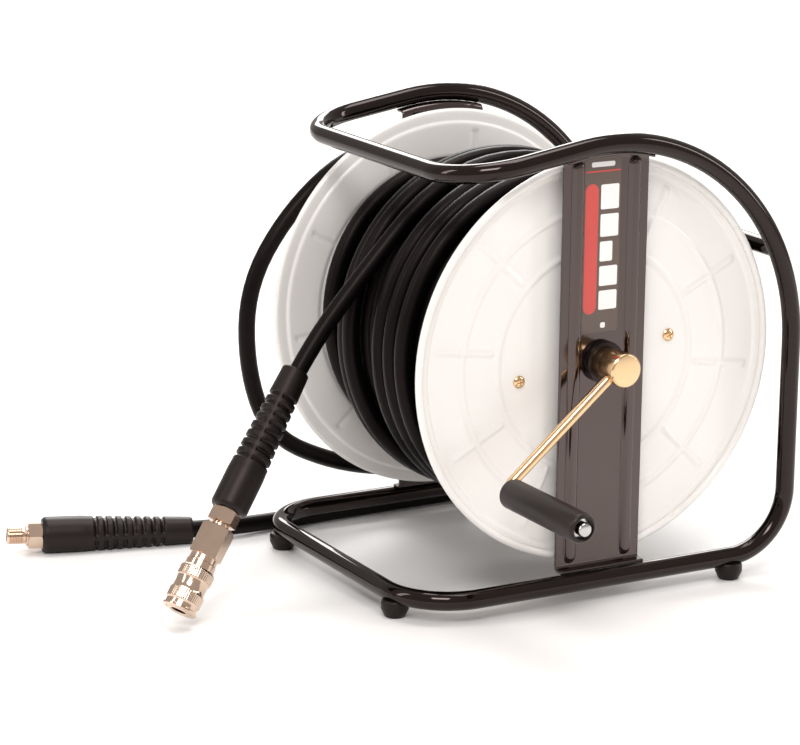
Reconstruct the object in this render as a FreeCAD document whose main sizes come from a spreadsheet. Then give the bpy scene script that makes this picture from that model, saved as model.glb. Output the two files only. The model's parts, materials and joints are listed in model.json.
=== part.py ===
import FreeCAD, Part
import math
import os

import Sketcher
from FreeCAD import Placement, Rotation, Vector

# Portable hand-crank hose reel in a bent-tube cage.
# Every piece is drawn about the axle: X to the rear, Y to the far (swivel) side,
# Z up, with the axle's middle at zero. One shift then stands the cage on the floor.
SIZES = {
    # cage
    "axle_height": 178.8,
    "foot_height": 10,
    "tube_radius": 7,
    "tube_wall": 1.5,
    "bend_radius": 48,
    "loop_radius": 161,
    "loop_y": 128,
    "joint_y": 60,
    "handle_inset": 39,
    "handle_drop": 18,
    "front_x": -154,
    "cross_radius": 6.5,
    "cross_angle": 26,
    # side plates and bushes
    "plate_y": 119,
    "plate_half_width": 35.5,
    "plate_thickness": 2,
    "lip_depth": 9,
    "weld_gap": 0.05,
    "rib_x": 23.8,
    "rib_half_width": 4.4,
    "rib_height": 3.5,
    "rib_end": 144,
    "bush_sleeve": 13,
    "bush_flange": 15.5,
    "bush_flange_depth": 6,
    "bush_inner_depth": 2.6,
    "label_width": 30.6,
    "label_length": 128,
    "label_thickness": 0.3,
    "label_x": -3.3,
    "label_low": 22,
    # feet
    "foot_top_radius": 10.2,
    "foot_base_radius": 7.4,
    "foot_saddle": 2.5,
    "foot_front_y": 90,
    "foot_rear_x": 112,
    "foot_screw_head": 3.6,
    "foot_screw_radius": 2,
    "foot_recess": 3,
    "foot_clearance": 0.1,
    # drum
    "flange_radius": 150,
    "flange_bead": 2.8,
    "flange_bore": 15,
    "flange_border": 11,
    "flange_step": 1.5,
    "sheet": 1.5,
    "drum_half": 107,
    "core_radius": 78,
    "screw_pitch": 64.5,
    "screw_tilt": 9.4,
    "screw_radius": 2,
    "screw_head": 4.7,
    "screw_head_height": 2.8,
    "screw_length": 9,
    "screw_clearance": 0.2,
    "outlet_y": 92,
    "outlet_radius": 6,
    "outlet_bore": 3.5,
    # axle
    "shaft_radius": 10,
    "shaft_bore": 4,
    "running_clearance": 0.06,
    "collar_radius": 14,
    "collar_depth": 3.6,
    "journal_radius": 8,
    "journal_end": 150,
    "spigot_end": 146,
    "shoulder_y": 126,
    "washer_radius": 14.5,
    "washer_gap": 0.3,
    "ring_groove": 1.35,
    "ring_section": 0.62,
    # crank
    "hub_radius": 12.5,
    "hub_end": 152,
    "hub_gap": 0.4,
    "arm_y": 141,
    "arm_length": 121.9,
    "arm_angle": 220.2,
    "rod_radius": 4,
    "rod_bend": 9,
    "rod_inset": 8.2,
    "grip_start": 150.4,
    "grip_length": 95.6,
    "grip_radius": 11,
    "grip_recess": 7.6,
    "grip_recess_depth": 6,
    "grip_washer": 7.1,
    "grip_nut": 5,
    "grip_nut_length": 7.8,
    "set_screw_radius": 3,
    "set_screw_offset": 5,
    # swivel
    "swivel_radius": 12,
    "swivel_end": 156,
    "swivel_gap": 0.3,
    "branch_radius": 8,
    "branch_end": 26,
    "ferrule_length": 20,
    "ferrule_radius": 9.5,
    # hose
    "hose_radius": 6.75,
    "winding_full": 133,
    "winding_middle": 121,
    "winding_low": 109.5,
    "winding_gap": 0.3,
    "lane_y": 12,
    "lane_radius": 126.5,
    "lane_gap": 0.6,
    "lane_start": 65,
    # bend restrictors and their fittings
    "sleeve_length": 116,
    "sleeve_small": 10.3,
    "sleeve_big": 14,
    "sleeve_mouth": 8,
    "sleeve_mouth_depth": 14,
    "sleeve_clearance": 0.15,
    "hose_insert": 50,
    "groove_start": 20,
    "groove_pitch": 7.4,
    "groove_width": 2.4,
    "groove_depth": 1.5,
    "stem_radius": 10,
    "fitting_bore": 4,
    "hex_flats": 19,
    "hex_length": 11,
    "hex_gap": 0.3,
    "thread_radius": 6.58,
    "thread_length": 12,
    "neck_radius": 8,
    "neck_length": 4,
    # quick coupler
    "adapter_thread": 6.4,
    "adapter_thread_length": 9,
    "adapter_neck_length": 3,
    "body_flats": 21.5,
    "body_length": 29,
    "barrel_radius": 9.6,
    "barrel_length": 38.5,
    "mouth_radius": 6.15,
    "mouth_depth": 24,
    "throat_radius": 5.7,
    "throat_length": 8,
    "chamber_radius": 7,
    "chamber_depth": 44,
    "sleeve_gap": 0.08,
    "sleeve_start": 5,
    "slider_length": 33,
    "slider_radius": 13.1,
    "slider_waist": 12.4,
    "pocket_radius": 11.4,
    "pocket_length": 15,
    "land_clearance": 0.1,
    "spring_seat": 7,
    "ball_radius": 1.5,
    "ball_depth": 9.5,
    "poppet_clearance": 0.3,
    "valve_length": 8,
    "valve_nose": 3.9,
    "spring_wire": 0.45,
}

DOC = FreeCAD.newDocument("hose_reel")
SHEET = DOC.addObject("Spreadsheet::Sheet", "Sizes")
for row, (alias, number) in enumerate(SIZES.items(), start=1):
    SHEET.set(f"A{row}", alias)
    SHEET.set(f"B{row}", str(number))
    SHEET.setAlias(f"B{row}", alias)
DOC.recompute()

NODES = {}
Y_AXIS = Vector(0, 1, 0)
RESTRICTOR_GROOVES = 8
SCREW_COUNT = 4
BALL_COUNT = 6
SPRING_TURNS = 5

# Free working hose: off the top of the drum, over the open front of the cage,
# into its bend restrictor. The first points lie round the drum in the hose's own lane.
WORKING_START = Vector(-184.5, 6.0, -14.9)
WORKING_AXIS = Vector(-0.5947, -0.2397, -0.7674)
WORKING_POINTS = [(-136, 12, 40.8), (-177.4, 8.9, -6.7)]
LANE_TURNS = [-66.2, -21.2, 23.8, 68.8, 113.8]
LANE_STEP = 45.0

# Lead-in hose: from the swivel, one open turn beside the cage, then forward along the floor.
LEAD_START = Vector(-209.6, 135.0, -168.6)
LEAD_AXIS = Vector(-0.9636, 0.2659, 0.0276)
LEAD_FLOOR = -172.0
LEAD_POINTS = [
    (97.7, 141, 0), (138.8, 153, -29.5), (154.5, 163, -77), (138.8, 167, -125),
    (97.7, 166, -154), (46, 165, -157), (-12, 163, -152), (-72, 161, -139),
    (-130, 160, -109), (-150, 160, -52), (-149, 160, 14), (-113, 160, 70),
    (-60, 159, 112), (-5, 157, 116), (58, 155, 101), (112, 152, 62),
    (146, 149, 8), (160, 146, -54), (150, 144, -116), (108, 143, -158),
    (52, 142, LEAD_FLOOR), (-8, 140, LEAD_FLOOR), (-68, 139, LEAD_FLOOR),
    (-130, 136.7, LEAD_FLOOR), (-195.2, 131.0, LEAD_FLOOR + 3),
]


def size(alias):
    """The number that a cell of the sheet holds."""
    return float(SHEET.get(alias))


def cell(text):
    """An expression in which each word names a cell of the sheet."""
    words = text.split(" ")
    return " ".join(f"Sizes.{word}" if word in SIZES else word for word in words)


# The box round the cage and crank gives the shift that centres it over the floor's origin.
FRONT = size("front_x") - size("tube_radius")
REAR = size("loop_radius") + size("tube_radius")
GRIP_TIP = size("grip_start") + size("grip_length") - size("grip_recess_depth")
GRIP_TIP += 1 + 2 * size("running_clearance") + size("grip_nut_length")
SHIFT = Vector(-(FRONT + REAR) / 2, (GRIP_TIP - size("swivel_end")) / 2, size("axle_height"))


def seat(thing, name, local=None):
    """Name a finished piece, put it in the cage's frame and list it for export."""
    thing.Label = name
    thing.Placement = Placement(SHIFT, Rotation()).multiply(local or Placement())
    NODES[name] = thing
    return thing


def plane(body, role):
    """One of a body's own origin planes or axes."""
    return next(part for part in body.Origin.OriginFeatures if part.Role == role)


def new_body(name):
    return DOC.addObject("PartDesign::Body", name + "_body")


def new_sketch(body, name, role, offset=None):
    """A sketch on one of the body's origin planes, moved along its normal by an expression."""
    sketch = body.newObject("Sketcher::SketchObject", name)
    sketch.AttachmentSupport = (plane(body, role), [""])
    sketch.MapMode = "FlatFace"
    if offset:
        sketch.setExpression("AttachmentOffset.Base.z", cell(offset))
    return sketch


def pin_point(sketch, geometry, vertex, across, along):
    """Hold a sketch point at two expressions measured from the sketch's origin."""
    for kind, axis, text in (("DistanceX", -2, across), ("DistanceY", -1, along)):
        if text == "0":
            sketch.addConstraint(Sketcher.Constraint("PointOnObject", geometry, vertex, axis))
        else:
            index = sketch.addConstraint(Sketcher.Constraint(kind, -1, 1, geometry, vertex, 1.0))
            sketch.setExpression(f"Constraints[{index}]", cell(text))


def outline(body, name, role, points, offset=None):
    """A closed outline of straight lines whose corners are pairs of expressions."""
    sketch = new_sketch(body, name, role, offset)
    count = len(points)
    spread = [Vector(10 + index, 5 + 0.3 * index * index, 0) for index in range(count)]
    for index in range(count):
        line = Part.LineSegment(spread[index], spread[(index + 1) % count])
        sketch.addGeometry(line, False)
    for index in range(count):
        joined = Sketcher.Constraint("Coincident", index, 2, (index + 1) % count, 1)
        sketch.addConstraint(joined)
    for index, (across, along) in enumerate(points):
        pin_point(sketch, index, 1, across, along)
    return sketch


def circle(body, name, role, across, along, radius, offset=None):
    """A circle whose centre and radius are expressions."""
    sketch = new_sketch(body, name, role, offset)
    sketch.addGeometry(Part.Circle(Vector(20, 20, 0), Vector(0, 0, 1), 5), False)
    pin_point(sketch, 0, 3, across, along)
    index = sketch.addConstraint(Sketcher.Constraint("Radius", 0, 5.0))
    sketch.setExpression(f"Constraints[{index}]", cell(radius))
    return sketch


def hexagon(body, name, flats, offset):
    """A hexagon of the given width across its flats, on the body's XY plane."""
    points = []
    for corner in range(6):
        angle = 60 * corner
        reach = f"{flats} / 2 / cos(30 deg)"
        points.append((f"{reach} * cos({angle} deg)", f"{reach} * sin({angle} deg)"))
    points[0] = (points[0][0], "0")
    points[3] = (points[3][0], "0")
    return outline(body, name, "XY_Plane", points, offset)


def turn(body, name, sketch, axis="V_Axis", kind="PartDesign::Revolution"):
    """Turn a sketch a whole turn about one of its own axes or edges."""
    feature = body.newObject(kind, name)
    feature.Profile = sketch
    feature.ReferenceAxis = (sketch, [axis])
    feature.Angle = 360
    return feature


def pad(body, name, sketch, length, reverse=False):
    feature = body.newObject("PartDesign::Pad", name)
    feature.Profile = sketch
    feature.setExpression("Length", cell(length))
    feature.Reversed = reverse
    return feature


def pocket(body, name, sketch, length, reverse=False, midplane=False):
    """Cut a sketch to a length, and make sure that it did cut."""
    DOC.recompute()
    before = body.Shape.Volume
    feature = body.newObject("PartDesign::Pocket", name)
    feature.Profile = sketch
    feature.setExpression("Length", cell(length))
    feature.Midplane = midplane
    feature.Reversed = reverse
    DOC.recompute()
    if body.Shape.Volume >= before:
        raise ValueError(name + " cuts nothing")
    return feature


def ring_of(body, name, feature, count, role="Y_Axis"):
    """Repeat a feature evenly about one of the body's axes."""
    pattern = body.newObject("PartDesign::PolarPattern", name)
    pattern.Originals = [feature]
    pattern.Axis = (plane(body, role), [""])
    pattern.Angle = 360
    pattern.Occurrences = count
    body.Tip = pattern
    return pattern


def turned_about_y(name, points):
    """A piece turned about the axle. Points are radius, then place along the axle."""
    body = new_body(name)
    turn(body, name + "_turn", outline(body, name + "_section", "XY_Plane", points))
    return body


def turned_about_z(name, points):
    """A piece turned about its own Z. Points are radius, then height."""
    body = new_body(name)
    turn(body, name + "_turn", outline(body, name + "_section", "XZ_Plane", points))
    return body


def mirrored(name, source):
    """The far side's copy of a near side piece."""
    copy = DOC.addObject("Part::Mirroring", name + "_mirror")
    copy.Source = source
    copy.Normal = Y_AXIS
    copy.Base = Vector(0, SHIFT.y, 0)
    copy.Label = name
    NODES[name] = copy
    return copy


def block(name, lengths, corner=()):
    """A box: three lengths and, where it is not placed by hand, its low corner."""
    box = DOC.addObject("Part::Box", name)
    for side, text in zip(("Length", "Width", "Height"), lengths):
        box.setExpression(side, cell(text))
    for axis, text in zip("xyz", corner):
        box.setExpression(f"Placement.Base.{axis}", cell(text))
    return box


def rod(name, radius, length, foot=(), towards=Vector(0, 0, 1)):
    """A cylinder along a direction from a foot point, which is left out when placed by hand."""
    bar = DOC.addObject("Part::Cylinder", name)
    bar.Placement = Placement(Vector(), Rotation(Vector(0, 0, 1), towards))
    bar.setExpression("Radius", cell(radius))
    bar.setExpression("Height", cell(length))
    for axis, text in zip("xyz", foot):
        bar.setExpression(f"Placement.Base.{axis}", cell(text))
    return bar


def joined(name, *parts):
    fuse = DOC.addObject("Part::MultiFuse", name)
    fuse.Shapes = list(parts)
    return fuse


def cut(name, base, tool):
    result = DOC.addObject("Part::Cut", name)
    result.Base = base
    result.Tool = tool
    return result


def common(name, base, tool):
    result = DOC.addObject("Part::Common", name)
    result.Base = base
    result.Tool = tool
    return result


def shaped(name, shape, local=None):
    """A piece whose shape is worked out here."""
    feature = DOC.addObject("Part::Feature", name + "_shape")
    feature.Shape = shape
    return seat(feature, name, local)


def rounded_path(points, radii):
    """Straight runs joined by arcs that touch them, as one wire."""
    edges = []
    here = points[0]
    for before, corner, after, radius in zip(points, points[1:], points[2:], radii):
        inward = (before - corner).normalize()
        outward = (after - corner).normalize()
        half_turn = (math.pi - inward.getAngle(outward)) / 2
        reach = radius * math.tan(half_turn)
        middle = (inward + outward).normalize()
        depth = radius / math.cos(half_turn) - radius
        start = corner + inward * reach
        end = corner + outward * reach
        edges.append(Part.LineSegment(here, start).toShape())
        edges.append(Part.Arc(start, corner + middle * depth, end).toShape())
        here = end
    edges.append(Part.LineSegment(here, points[-1]).toShape())
    return Part.Wire(edges)


def bar_along(path, radius):
    """A round bar swept along a path, checked against its section times its length."""
    start = path.Edges[0]
    heading = start.tangentAt(start.FirstParameter)
    first = start.valueAt(start.FirstParameter)
    section = Part.Wire([Part.Circle(first, heading, radius).toShape()])
    bar = path.makePipeShell([section], True, False)
    expected = math.pi * radius * radius * path.Length
    if abs(bar.Volume - expected) > 0.01 * expected:
        raise ValueError(f"swept volume {bar.Volume:.0f}, expected {expected:.0f}")
    return bar


def cord_radii(points):
    """The largest arc that two neighbouring runs allow at each point of a cord."""
    radii = []
    for before, corner, after in zip(points, points[1:], points[2:]):
        inward = before - corner
        outward = after - corner
        half_turn = (math.pi - inward.getAngle(outward)) / 2
        shorter = min(inward.Length, outward.Length)
        radii.append(0.45 * shorter / math.tan(half_turn))
    return radii


# ---- cage ----

def loop_points(side):
    """Corners of one side loop, from its handle joint round to its front joint."""
    joint = side * size("joint_y")
    loop_y = side * size("loop_y")
    radius = size("loop_radius")
    handle = Vector(size("handle_inset") - radius, loop_y, radius - size("handle_drop"))
    reach = math.hypot(handle.x, handle.z)
    tangent_angle = math.atan2(handle.z, handle.x) - math.acos(radius / reach)
    bottom = -size("axle_height") + size("foot_height") + size("tube_radius")
    return [
        Vector(handle.x, joint, handle.z),
        handle,
        Vector(radius, loop_y, radius * math.tan(tangent_angle / 2)),
        Vector(radius, loop_y, bottom),
        Vector(size("front_x"), loop_y, bottom),
        Vector(size("front_x"), joint, bottom),
    ]


def loop_path(side):
    bend = size("bend_radius")
    return rounded_path(loop_points(side), [bend, size("loop_radius"), bend, bend])


def foot_places():
    """Where the four feet stand under the cage, as points on the floor."""
    bend = size("bend_radius")
    past = size("foot_front_y") - (size("loop_y") - bend)
    front = size("front_x") + bend - math.sqrt(bend * bend - past * past)
    places = []
    for side in (-1, 1):
        places.append(Vector(front, side * size("foot_front_y"), -size("axle_height")))
        places.append(Vector(size("foot_rear_x"), side * size("loop_y"), -size("axle_height")))
    return places


def build_cage():
    """Two side loops, the two bars that join them at the front, and a rear cross bar."""
    outer = {side: bar_along(loop_path(side), size("tube_radius")) for side in (-1, 1)}
    bore = size("tube_radius") - size("tube_wall")
    drill = size("foot_screw_radius") + size("foot_clearance")
    for side, name in ((-1, "near_side_loop"), (1, "far_side_loop")):
        tube = outer[side].cut(bar_along(loop_path(side), bore))
        for place in foot_places():
            if place.y * side > 0:
                tube = tube.cut(Part.makeCylinder(drill, size("foot_height") + 5, place))
        shaped(name, tube)
    for name, corner in (("handle_bar", 0), ("front_cross_bar", -1)):
        start = loop_points(-1)[corner]
        length = 2 * size("joint_y")
        solid = Part.makeCylinder(size("tube_radius"), length, start, Y_AXIS)
        shaped(name, solid.cut(Part.makeCylinder(bore, length, start, Y_AXIS)))
    angle = math.radians(size("cross_angle"))
    start = Vector(math.cos(angle), 0, math.sin(angle)) * size("loop_radius")
    start.y = -size("loop_y")
    cross = Part.makeCylinder(size("cross_radius"), 2 * size("loop_y"), start, Y_AXIS)
    shaped("rear_cross_bar", cross.cut(outer[-1]).cut(outer[1]))
    return outer


def build_feet(outer):
    """Four rubber feet hollowed to sit against the tube, each with its own screw."""
    top = "foot_height + foot_saddle"
    shank = "foot_screw_radius + foot_clearance"
    recess = "foot_screw_head + foot_clearance"
    foot = turned_about_z("foot", [
        (recess, "0"), ("foot_base_radius", "0"), ("foot_top_radius", "foot_height - 4"),
        ("foot_top_radius", top), (shank, top), (shank, "foot_recess"), (recess, "foot_recess")])
    screw_top = "foot_height + 4"
    screw = turned_about_z("foot_screw", [
        ("0", "foot_recess - 1.8"), ("foot_screw_head", "foot_recess - 1.8"),
        ("foot_screw_head", "foot_recess"), ("foot_screw_radius", "foot_recess"),
        ("foot_screw_radius", screw_top), ("0", screw_top)])
    DOC.recompute()
    feet = []
    screws = []
    for place in foot_places():
        moved = foot.Shape.copy()
        moved.translate(place)
        side = 1 if place.y > 0 else -1
        feet.append(moved.cut(outer[side]))
        moved = screw.Shape.copy()
        moved.translate(place)
        screws.append(moved)
    shaped("rubber_feet", Part.makeCompound(feet))
    shaped("foot_screws", Part.makeCompound(screws))


def build_side_plates():
    """Pressed side plates with two ribs each and lips welded to the loop's tube."""
    inner = "loop_radius - tube_radius - weld_gap"
    width = "2 * plate_half_width"
    low = "foot_height + 2 * tube_radius + weld_gap - axle_height"
    panel = block("panel", (width, "plate_thickness", f"{inner} - ( {low} )"),
                  ("-1 * plate_half_width", "-1 * plate_y", low))
    bow = rod("panel_bow", inner, "3 * plate_thickness",
              ("0", "-1 * plate_y - plate_thickness", "0"), Y_AXIS)
    # the bow only trims the panel's top edge, so it is widened downwards by a block
    lower = block("panel_lower", (width, "3 * plate_thickness", f"-1 * ( {low} )"),
                  ("-1 * plate_half_width", "-1 * plate_y - plate_thickness", low))
    trimmed = common("panel_trimmed", panel, joined("panel_bounds", bow, lower))
    depth = "lip_depth + plate_thickness / 2"
    back = "-1 * plate_y - lip_depth"
    band = cut("lip_band", rod("lip_outer", inner, depth, ("0", back, "0"), Y_AXIS),
               rod("lip_inner", f"{inner} - plate_thickness", depth, ("0", back, "0"), Y_AXIS))
    window = block("lip_window", (width, depth, "loop_radius"),
                   ("-1 * plate_half_width", back, "0"))
    top_lip = common("top_lip", band, window)
    foot_lip = block("foot_lip", (width, depth, "plate_thickness"),
                     ("-1 * plate_half_width", back, low))
    parts = [trimmed, top_lip, foot_lip]
    for side in ("-1", "1"):
        tag = "front" if side == "-1" else "rear"
        start = f"{side} * rib_x"
        face = "-1 * plate_y - rib_height"
        parts.append(block(f"rib_{tag}", ("2 * rib_half_width", "rib_height + 1", "2 * rib_end"),
                           (f"{start} - rib_half_width", face, "-1 * rib_end")))
        for end in ("-1", "1"):
            place = (start, face, f"{end} * rib_end")
            parts.append(rod(f"rib_{tag}_{len(parts)}", "rib_half_width", "rib_height + 1",
                             place, Y_AXIS))
    hole = rod("plate_hole", "bush_sleeve + weld_gap", "4 * plate_thickness",
               ("0", "-1 * plate_y - plate_thickness", "0"), Y_AXIS)
    plate = cut("plate_with_hole", joined("plate_blank", *parts), hole)
    near = seat(plate, "near_side_plate")
    mirrored("far_side_plate", near)


def build_label():
    """Blank decorative strip between the ribs of the near plate."""
    strip = block("label", ("label_width", "label_thickness", "label_length"))
    corner = Vector(size("label_x") - size("label_width") / 2,
                    -size("plate_y") - size("label_thickness"), size("label_low"))
    seat(strip, "label_strip", Placement(corner, Rotation()))


def build_bushes():
    """Flanged plastic bushes that carry the axle in the side plates."""
    bore = "shaft_radius + running_clearance"
    face = "-1 * plate_y"
    outer = f"{face} - bush_flange_depth"
    inner = f"{face} + plate_thickness + bush_inner_depth"
    bush = turned_about_y("bush", [
        (bore, outer), ("bush_flange - 1.5", outer), ("bush_flange", f"{outer} + 1.5"),
        ("bush_flange", face), ("bush_sleeve", face), ("bush_sleeve", inner), (bore, inner)])
    near = seat(bush, "near_bearing_bush")
    mirrored("far_bearing_bush", near)


# ---- drum ----

def build_core():
    """Sheet drum core with closed ends, drilled for the flange screws and the hose."""
    end = "drum_half - weld_gap"
    bore = "shaft_radius + weld_gap"
    inside = "core_radius - sheet"
    body = turned_about_y("drum_core", [
        (bore, f"-1 * ( {end} )"), ("core_radius", f"-1 * ( {end} )"),
        ("core_radius", end), (bore, end), (bore, f"{end} - sheet"),
        (inside, f"{end} - sheet"), (inside, f"-1 * ( {end} - sheet )"),
        (bore, f"-1 * ( {end} - sheet )")])
    outlet = circle(body, "outlet_hole", "YZ_Plane", "outlet_y", "0", "outlet_radius + sheet")
    pocket(body, "outlet_cut", outlet, "core_radius + 2", reverse=True)
    drill = drilled_circle(body, "core_screw_hole", "screw_radius + screw_clearance / 2")
    ring_of(body, "core_screw_ring", drill, SCREW_COUNT)
    seat(body, "drum_core")


def drilled_circle(body, name, radius):
    """One hole on the flange screw circle, right through the piece."""
    across = "screw_pitch * cos( screw_tilt * 1 deg )"
    along = "screw_pitch * sin( screw_tilt * 1 deg )"
    sketch = circle(body, name, "XZ_Plane", across, along, radius)
    return pocket(body, name + "_cut", sketch, "4 * drum_half", midplane=True)


def build_flanges():
    """Pressed flanges: a flat disc, a raised border and a curled rim."""
    inner = "-1 * drum_half"
    outer = "-1 * drum_half - sheet"
    border = "flange_radius - flange_border"
    rim = "flange_radius - flange_bead"
    body = turned_about_y("flange", [
        ("flange_bore", inner), (border, inner), (f"{border} + flange_step", f"{inner} - flange_step"),
        (rim, f"{inner} - flange_step"), (rim, f"{outer} - flange_step"),
        (border, f"{outer} - flange_step"), (f"{border} - flange_step", outer),
        ("flange_bore", outer)])
    bead = circle(body, "rim_bead", "XY_Plane", rim,
                  f"{inner} - flange_step - flange_bead + sheet / 3", "flange_bead")
    turn(body, "rim_curl", bead)
    drill = drilled_circle(body, "flange_screw_hole", "screw_radius + screw_clearance")
    ring_of(body, "flange_screw_ring", drill, SCREW_COUNT)
    near = seat(body, "near_flange")
    mirrored("far_flange", near)


def build_flange_screws():
    """Pan-head screws through each flange into the core's end."""
    body = new_body("flange_screw")
    face = "-1 * drum_half - sheet"
    edge = "screw_pitch + screw_head"
    head = f"{face} - screw_head_height"
    tip = f"{face} + screw_length"
    sketch = outline(body, "flange_screw_section", "XY_Plane", [
        ("screw_pitch", head), ("screw_pitch + screw_head - 1.6", head),
        (edge, f"{head} + 1.4"), (edge, face), ("screw_pitch + screw_radius", face),
        ("screw_pitch + screw_radius", tip), ("screw_pitch", tip)])
    first = turn(body, "flange_screw_turn", sketch, "Edge7")
    ring_of(body, "flange_screw_set", first, SCREW_COUNT)
    tilt = Placement(Vector(), Rotation(Y_AXIS, -size("screw_tilt")))
    near = seat(body, "near_flange_screws", tilt)
    mirrored("far_flange_screws", near)


def build_shaft():
    """Axle: solid spigot for the crank, collars for the drum, bored journal for the swivel."""
    collar = "drum_half + sheet + weld_gap"
    collar_end = f"{collar} + collar_depth"
    groove = "journal_radius - ring_groove"
    body = turned_about_y("shaft", [
        ("0", "-1 * spigot_end"), ("journal_radius", "-1 * spigot_end"),
        ("journal_radius", "-1 * shoulder_y"), ("shaft_radius", "-1 * shoulder_y"),
        ("shaft_radius", f"-1 * ( {collar_end} )"), ("collar_radius", f"-1 * ( {collar_end} )"),
        ("collar_radius", f"-1 * ( {collar} )"), ("shaft_radius", f"-1 * ( {collar} )"),
        ("shaft_radius", collar), ("collar_radius", collar), ("collar_radius", collar_end),
        ("shaft_radius", collar_end), ("shaft_radius", "shoulder_y"),
        ("journal_radius", "shoulder_y"), ("journal_radius", "journal_end"),
        ("shaft_bore", "journal_end"), ("shaft_bore", "0"), ("0", "0")])
    for place in ring_places():
        wide = "ring_section + 0.1"
        tool = outline(body, f"ring_groove_{len(body.Group)}", "XY_Plane", [
            (groove, f"{place} - ( {wide} )"), ("journal_radius + 1", f"{place} - ( {wide} )"),
            ("journal_radius + 1", f"{place} + ( {wide} )"), (groove, f"{place} + ( {wide} )")])
        turn(body, f"ring_cut_{len(body.Group)}", tool, kind="PartDesign::Groove")
    port = circle(body, "swivel_port", "YZ_Plane", "arm_y", "0", "outlet_bore")
    pocket(body, "swivel_port_cut", port, "3 * journal_radius", midplane=True)
    port = circle(body, "drum_port", "YZ_Plane", "outlet_y", "0", "outlet_bore")
    pocket(body, "drum_port_cut", port, "2 * shaft_radius", reverse=True)
    seat(body, "drum_shaft")


def ring_places():
    """Places along the journal of its two sealing rings, one each side of the port."""
    return ("arm_y - 7", "arm_y + 6")


def build_seal_rings():
    body = new_body("swivel_rings")
    for place in ring_places():
        name = f"ring_{len(body.Group)}"
        sketch = circle(body, name, "XY_Plane",
                        "journal_radius - ring_section - running_clearance", place, "ring_section")
        turn(body, name + "_turn", sketch)
    seat(body, "swivel_seal_rings")


def build_thrust_washers():
    """Plain washers between the drum collars and the bushes."""
    start = "drum_half + sheet + weld_gap + collar_depth"
    end = "plate_y - plate_thickness - bush_inner_depth - washer_gap"
    bore = "shaft_radius + running_clearance"
    body = turned_about_y("thrust_washer", [
        (bore, f"-1 * ( {end} )"), ("washer_radius", f"-1 * ( {end} )"),
        ("washer_radius", f"-1 * ( {start} )"), (bore, f"-1 * ( {start} )")])
    near = seat(body, "near_thrust_washer")
    mirrored("far_thrust_washer", near)


def build_drum_outlet():
    """Pipe that leads the air from the axle to the first turn of hose."""
    start = size("shaft_radius") + size("weld_gap")
    length = "core_radius - shaft_radius - 1"
    outer = rod("outlet_outer", "outlet_radius", length, ("0", "0", "0"), Vector(1, 0, 0))
    collar = rod("outlet_nut", "outlet_radius + 3", "8", ("12", "0", "0"), Vector(1, 0, 0))
    bore = rod("outlet_inner", "outlet_bore", length, ("0", "0", "0"), Vector(1, 0, 0))
    saddle = rod("outlet_saddle", "shaft_radius + weld_gap", "4 * outlet_radius",
                 ("-1 * shaft_radius - weld_gap", "-2 * outlet_radius", "0"), Y_AXIS)
    pipe = cut("outlet_pipe", joined("outlet_solid", outer, collar),
               joined("outlet_tools", bore, saddle))
    seat(pipe, "drum_outlet_pipe", Placement(Vector(start, size("outlet_y"), 0), Rotation()))


def build_winding():
    """The wound hose as one ring: two layers at the far end, four in the middle,
    with an open lane for the turn that runs off to the front."""
    end = "drum_half - 1.5"
    inner = "core_radius + winding_gap"
    floor = "lane_radius - hose_radius - lane_gap"
    high = "lane_y + hose_radius + lane_gap"
    lane = "lane_y - hose_radius - lane_gap"
    body = turned_about_y("winding", [
        (inner, end), ("winding_low", end), ("winding_low", "64"), ("winding_middle", "60"),
        ("winding_middle", "50"), ("winding_full", "46"), ("winding_full", high), (floor, high),
        (floor, lane), ("winding_full", lane), ("winding_full", "-56"),
        ("winding_middle", "-60"), ("winding_middle", f"-1 * ( {end} )"),
        (inner, f"-1 * ( {end} )")])
    seat(body, "hose_winding")


# ---- crank ----

def crank_frame():
    """The crank's pieces are drawn with the arm along +X and turned into place."""
    return Placement(Vector(), Rotation(Y_AXIS, -size("arm_angle")))


def grip_frame():
    """The grip's pieces are drawn along +Z from the grip's inner end."""
    start = Placement(Vector(size("arm_length"), -size("grip_start"), 0),
                      Rotation(Vector(1, 0, 0), 90))
    return crank_frame().multiply(start)


def build_crank():
    """Hub pressed on the axle, bent rod, and the screw that locks them."""
    face = "-1 * plate_y - bush_flange_depth - hub_gap"
    body = turned_about_y("crank_hub", [
        ("journal_radius", face), ("hub_radius", face), ("hub_radius", "-1 * hub_end + 0.8"),
        ("hub_radius - 0.8", "-1 * hub_end"), ("0", "-1 * hub_end"),
        ("0", "-1 * spigot_end - weld_gap"), ("journal_radius", "-1 * spigot_end - weld_gap")])
    arm = circle(body, "arm_socket", "YZ_Plane", "-1 * arm_y", "0", "rod_radius")
    pocket(body, "arm_socket_cut", arm, "2 * hub_radius", reverse=True)
    lock = circle(body, "lock_socket", "YZ_Plane", "-1 * arm_y + set_screw_offset", "0",
                  "set_screw_radius")
    pocket(body, "lock_socket_cut", lock, "2 * hub_radius")
    seat(body, "crank_hub", crank_frame())
    path = rounded_path([
        Vector(size("rod_inset"), -size("arm_y"), 0),
        Vector(size("arm_length"), -size("arm_y"), 0),
        Vector(size("arm_length"), -GRIP_TIP + 3, 0)], [size("rod_bend")])
    shaped("crank_rod", bar_along(path, size("rod_radius")), crank_frame())
    start = size("journal_radius")
    screw = rod("set_screw", "set_screw_radius", "hub_radius - journal_radius - 0.4")
    offset = Vector(-start, -size("arm_y") + size("set_screw_offset"), 0)
    local = Placement(offset, Rotation(Vector(0, 0, 1), Vector(-1, 0, 0)))
    seat(screw, "crank_set_screw", crank_frame().multiply(local))


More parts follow.
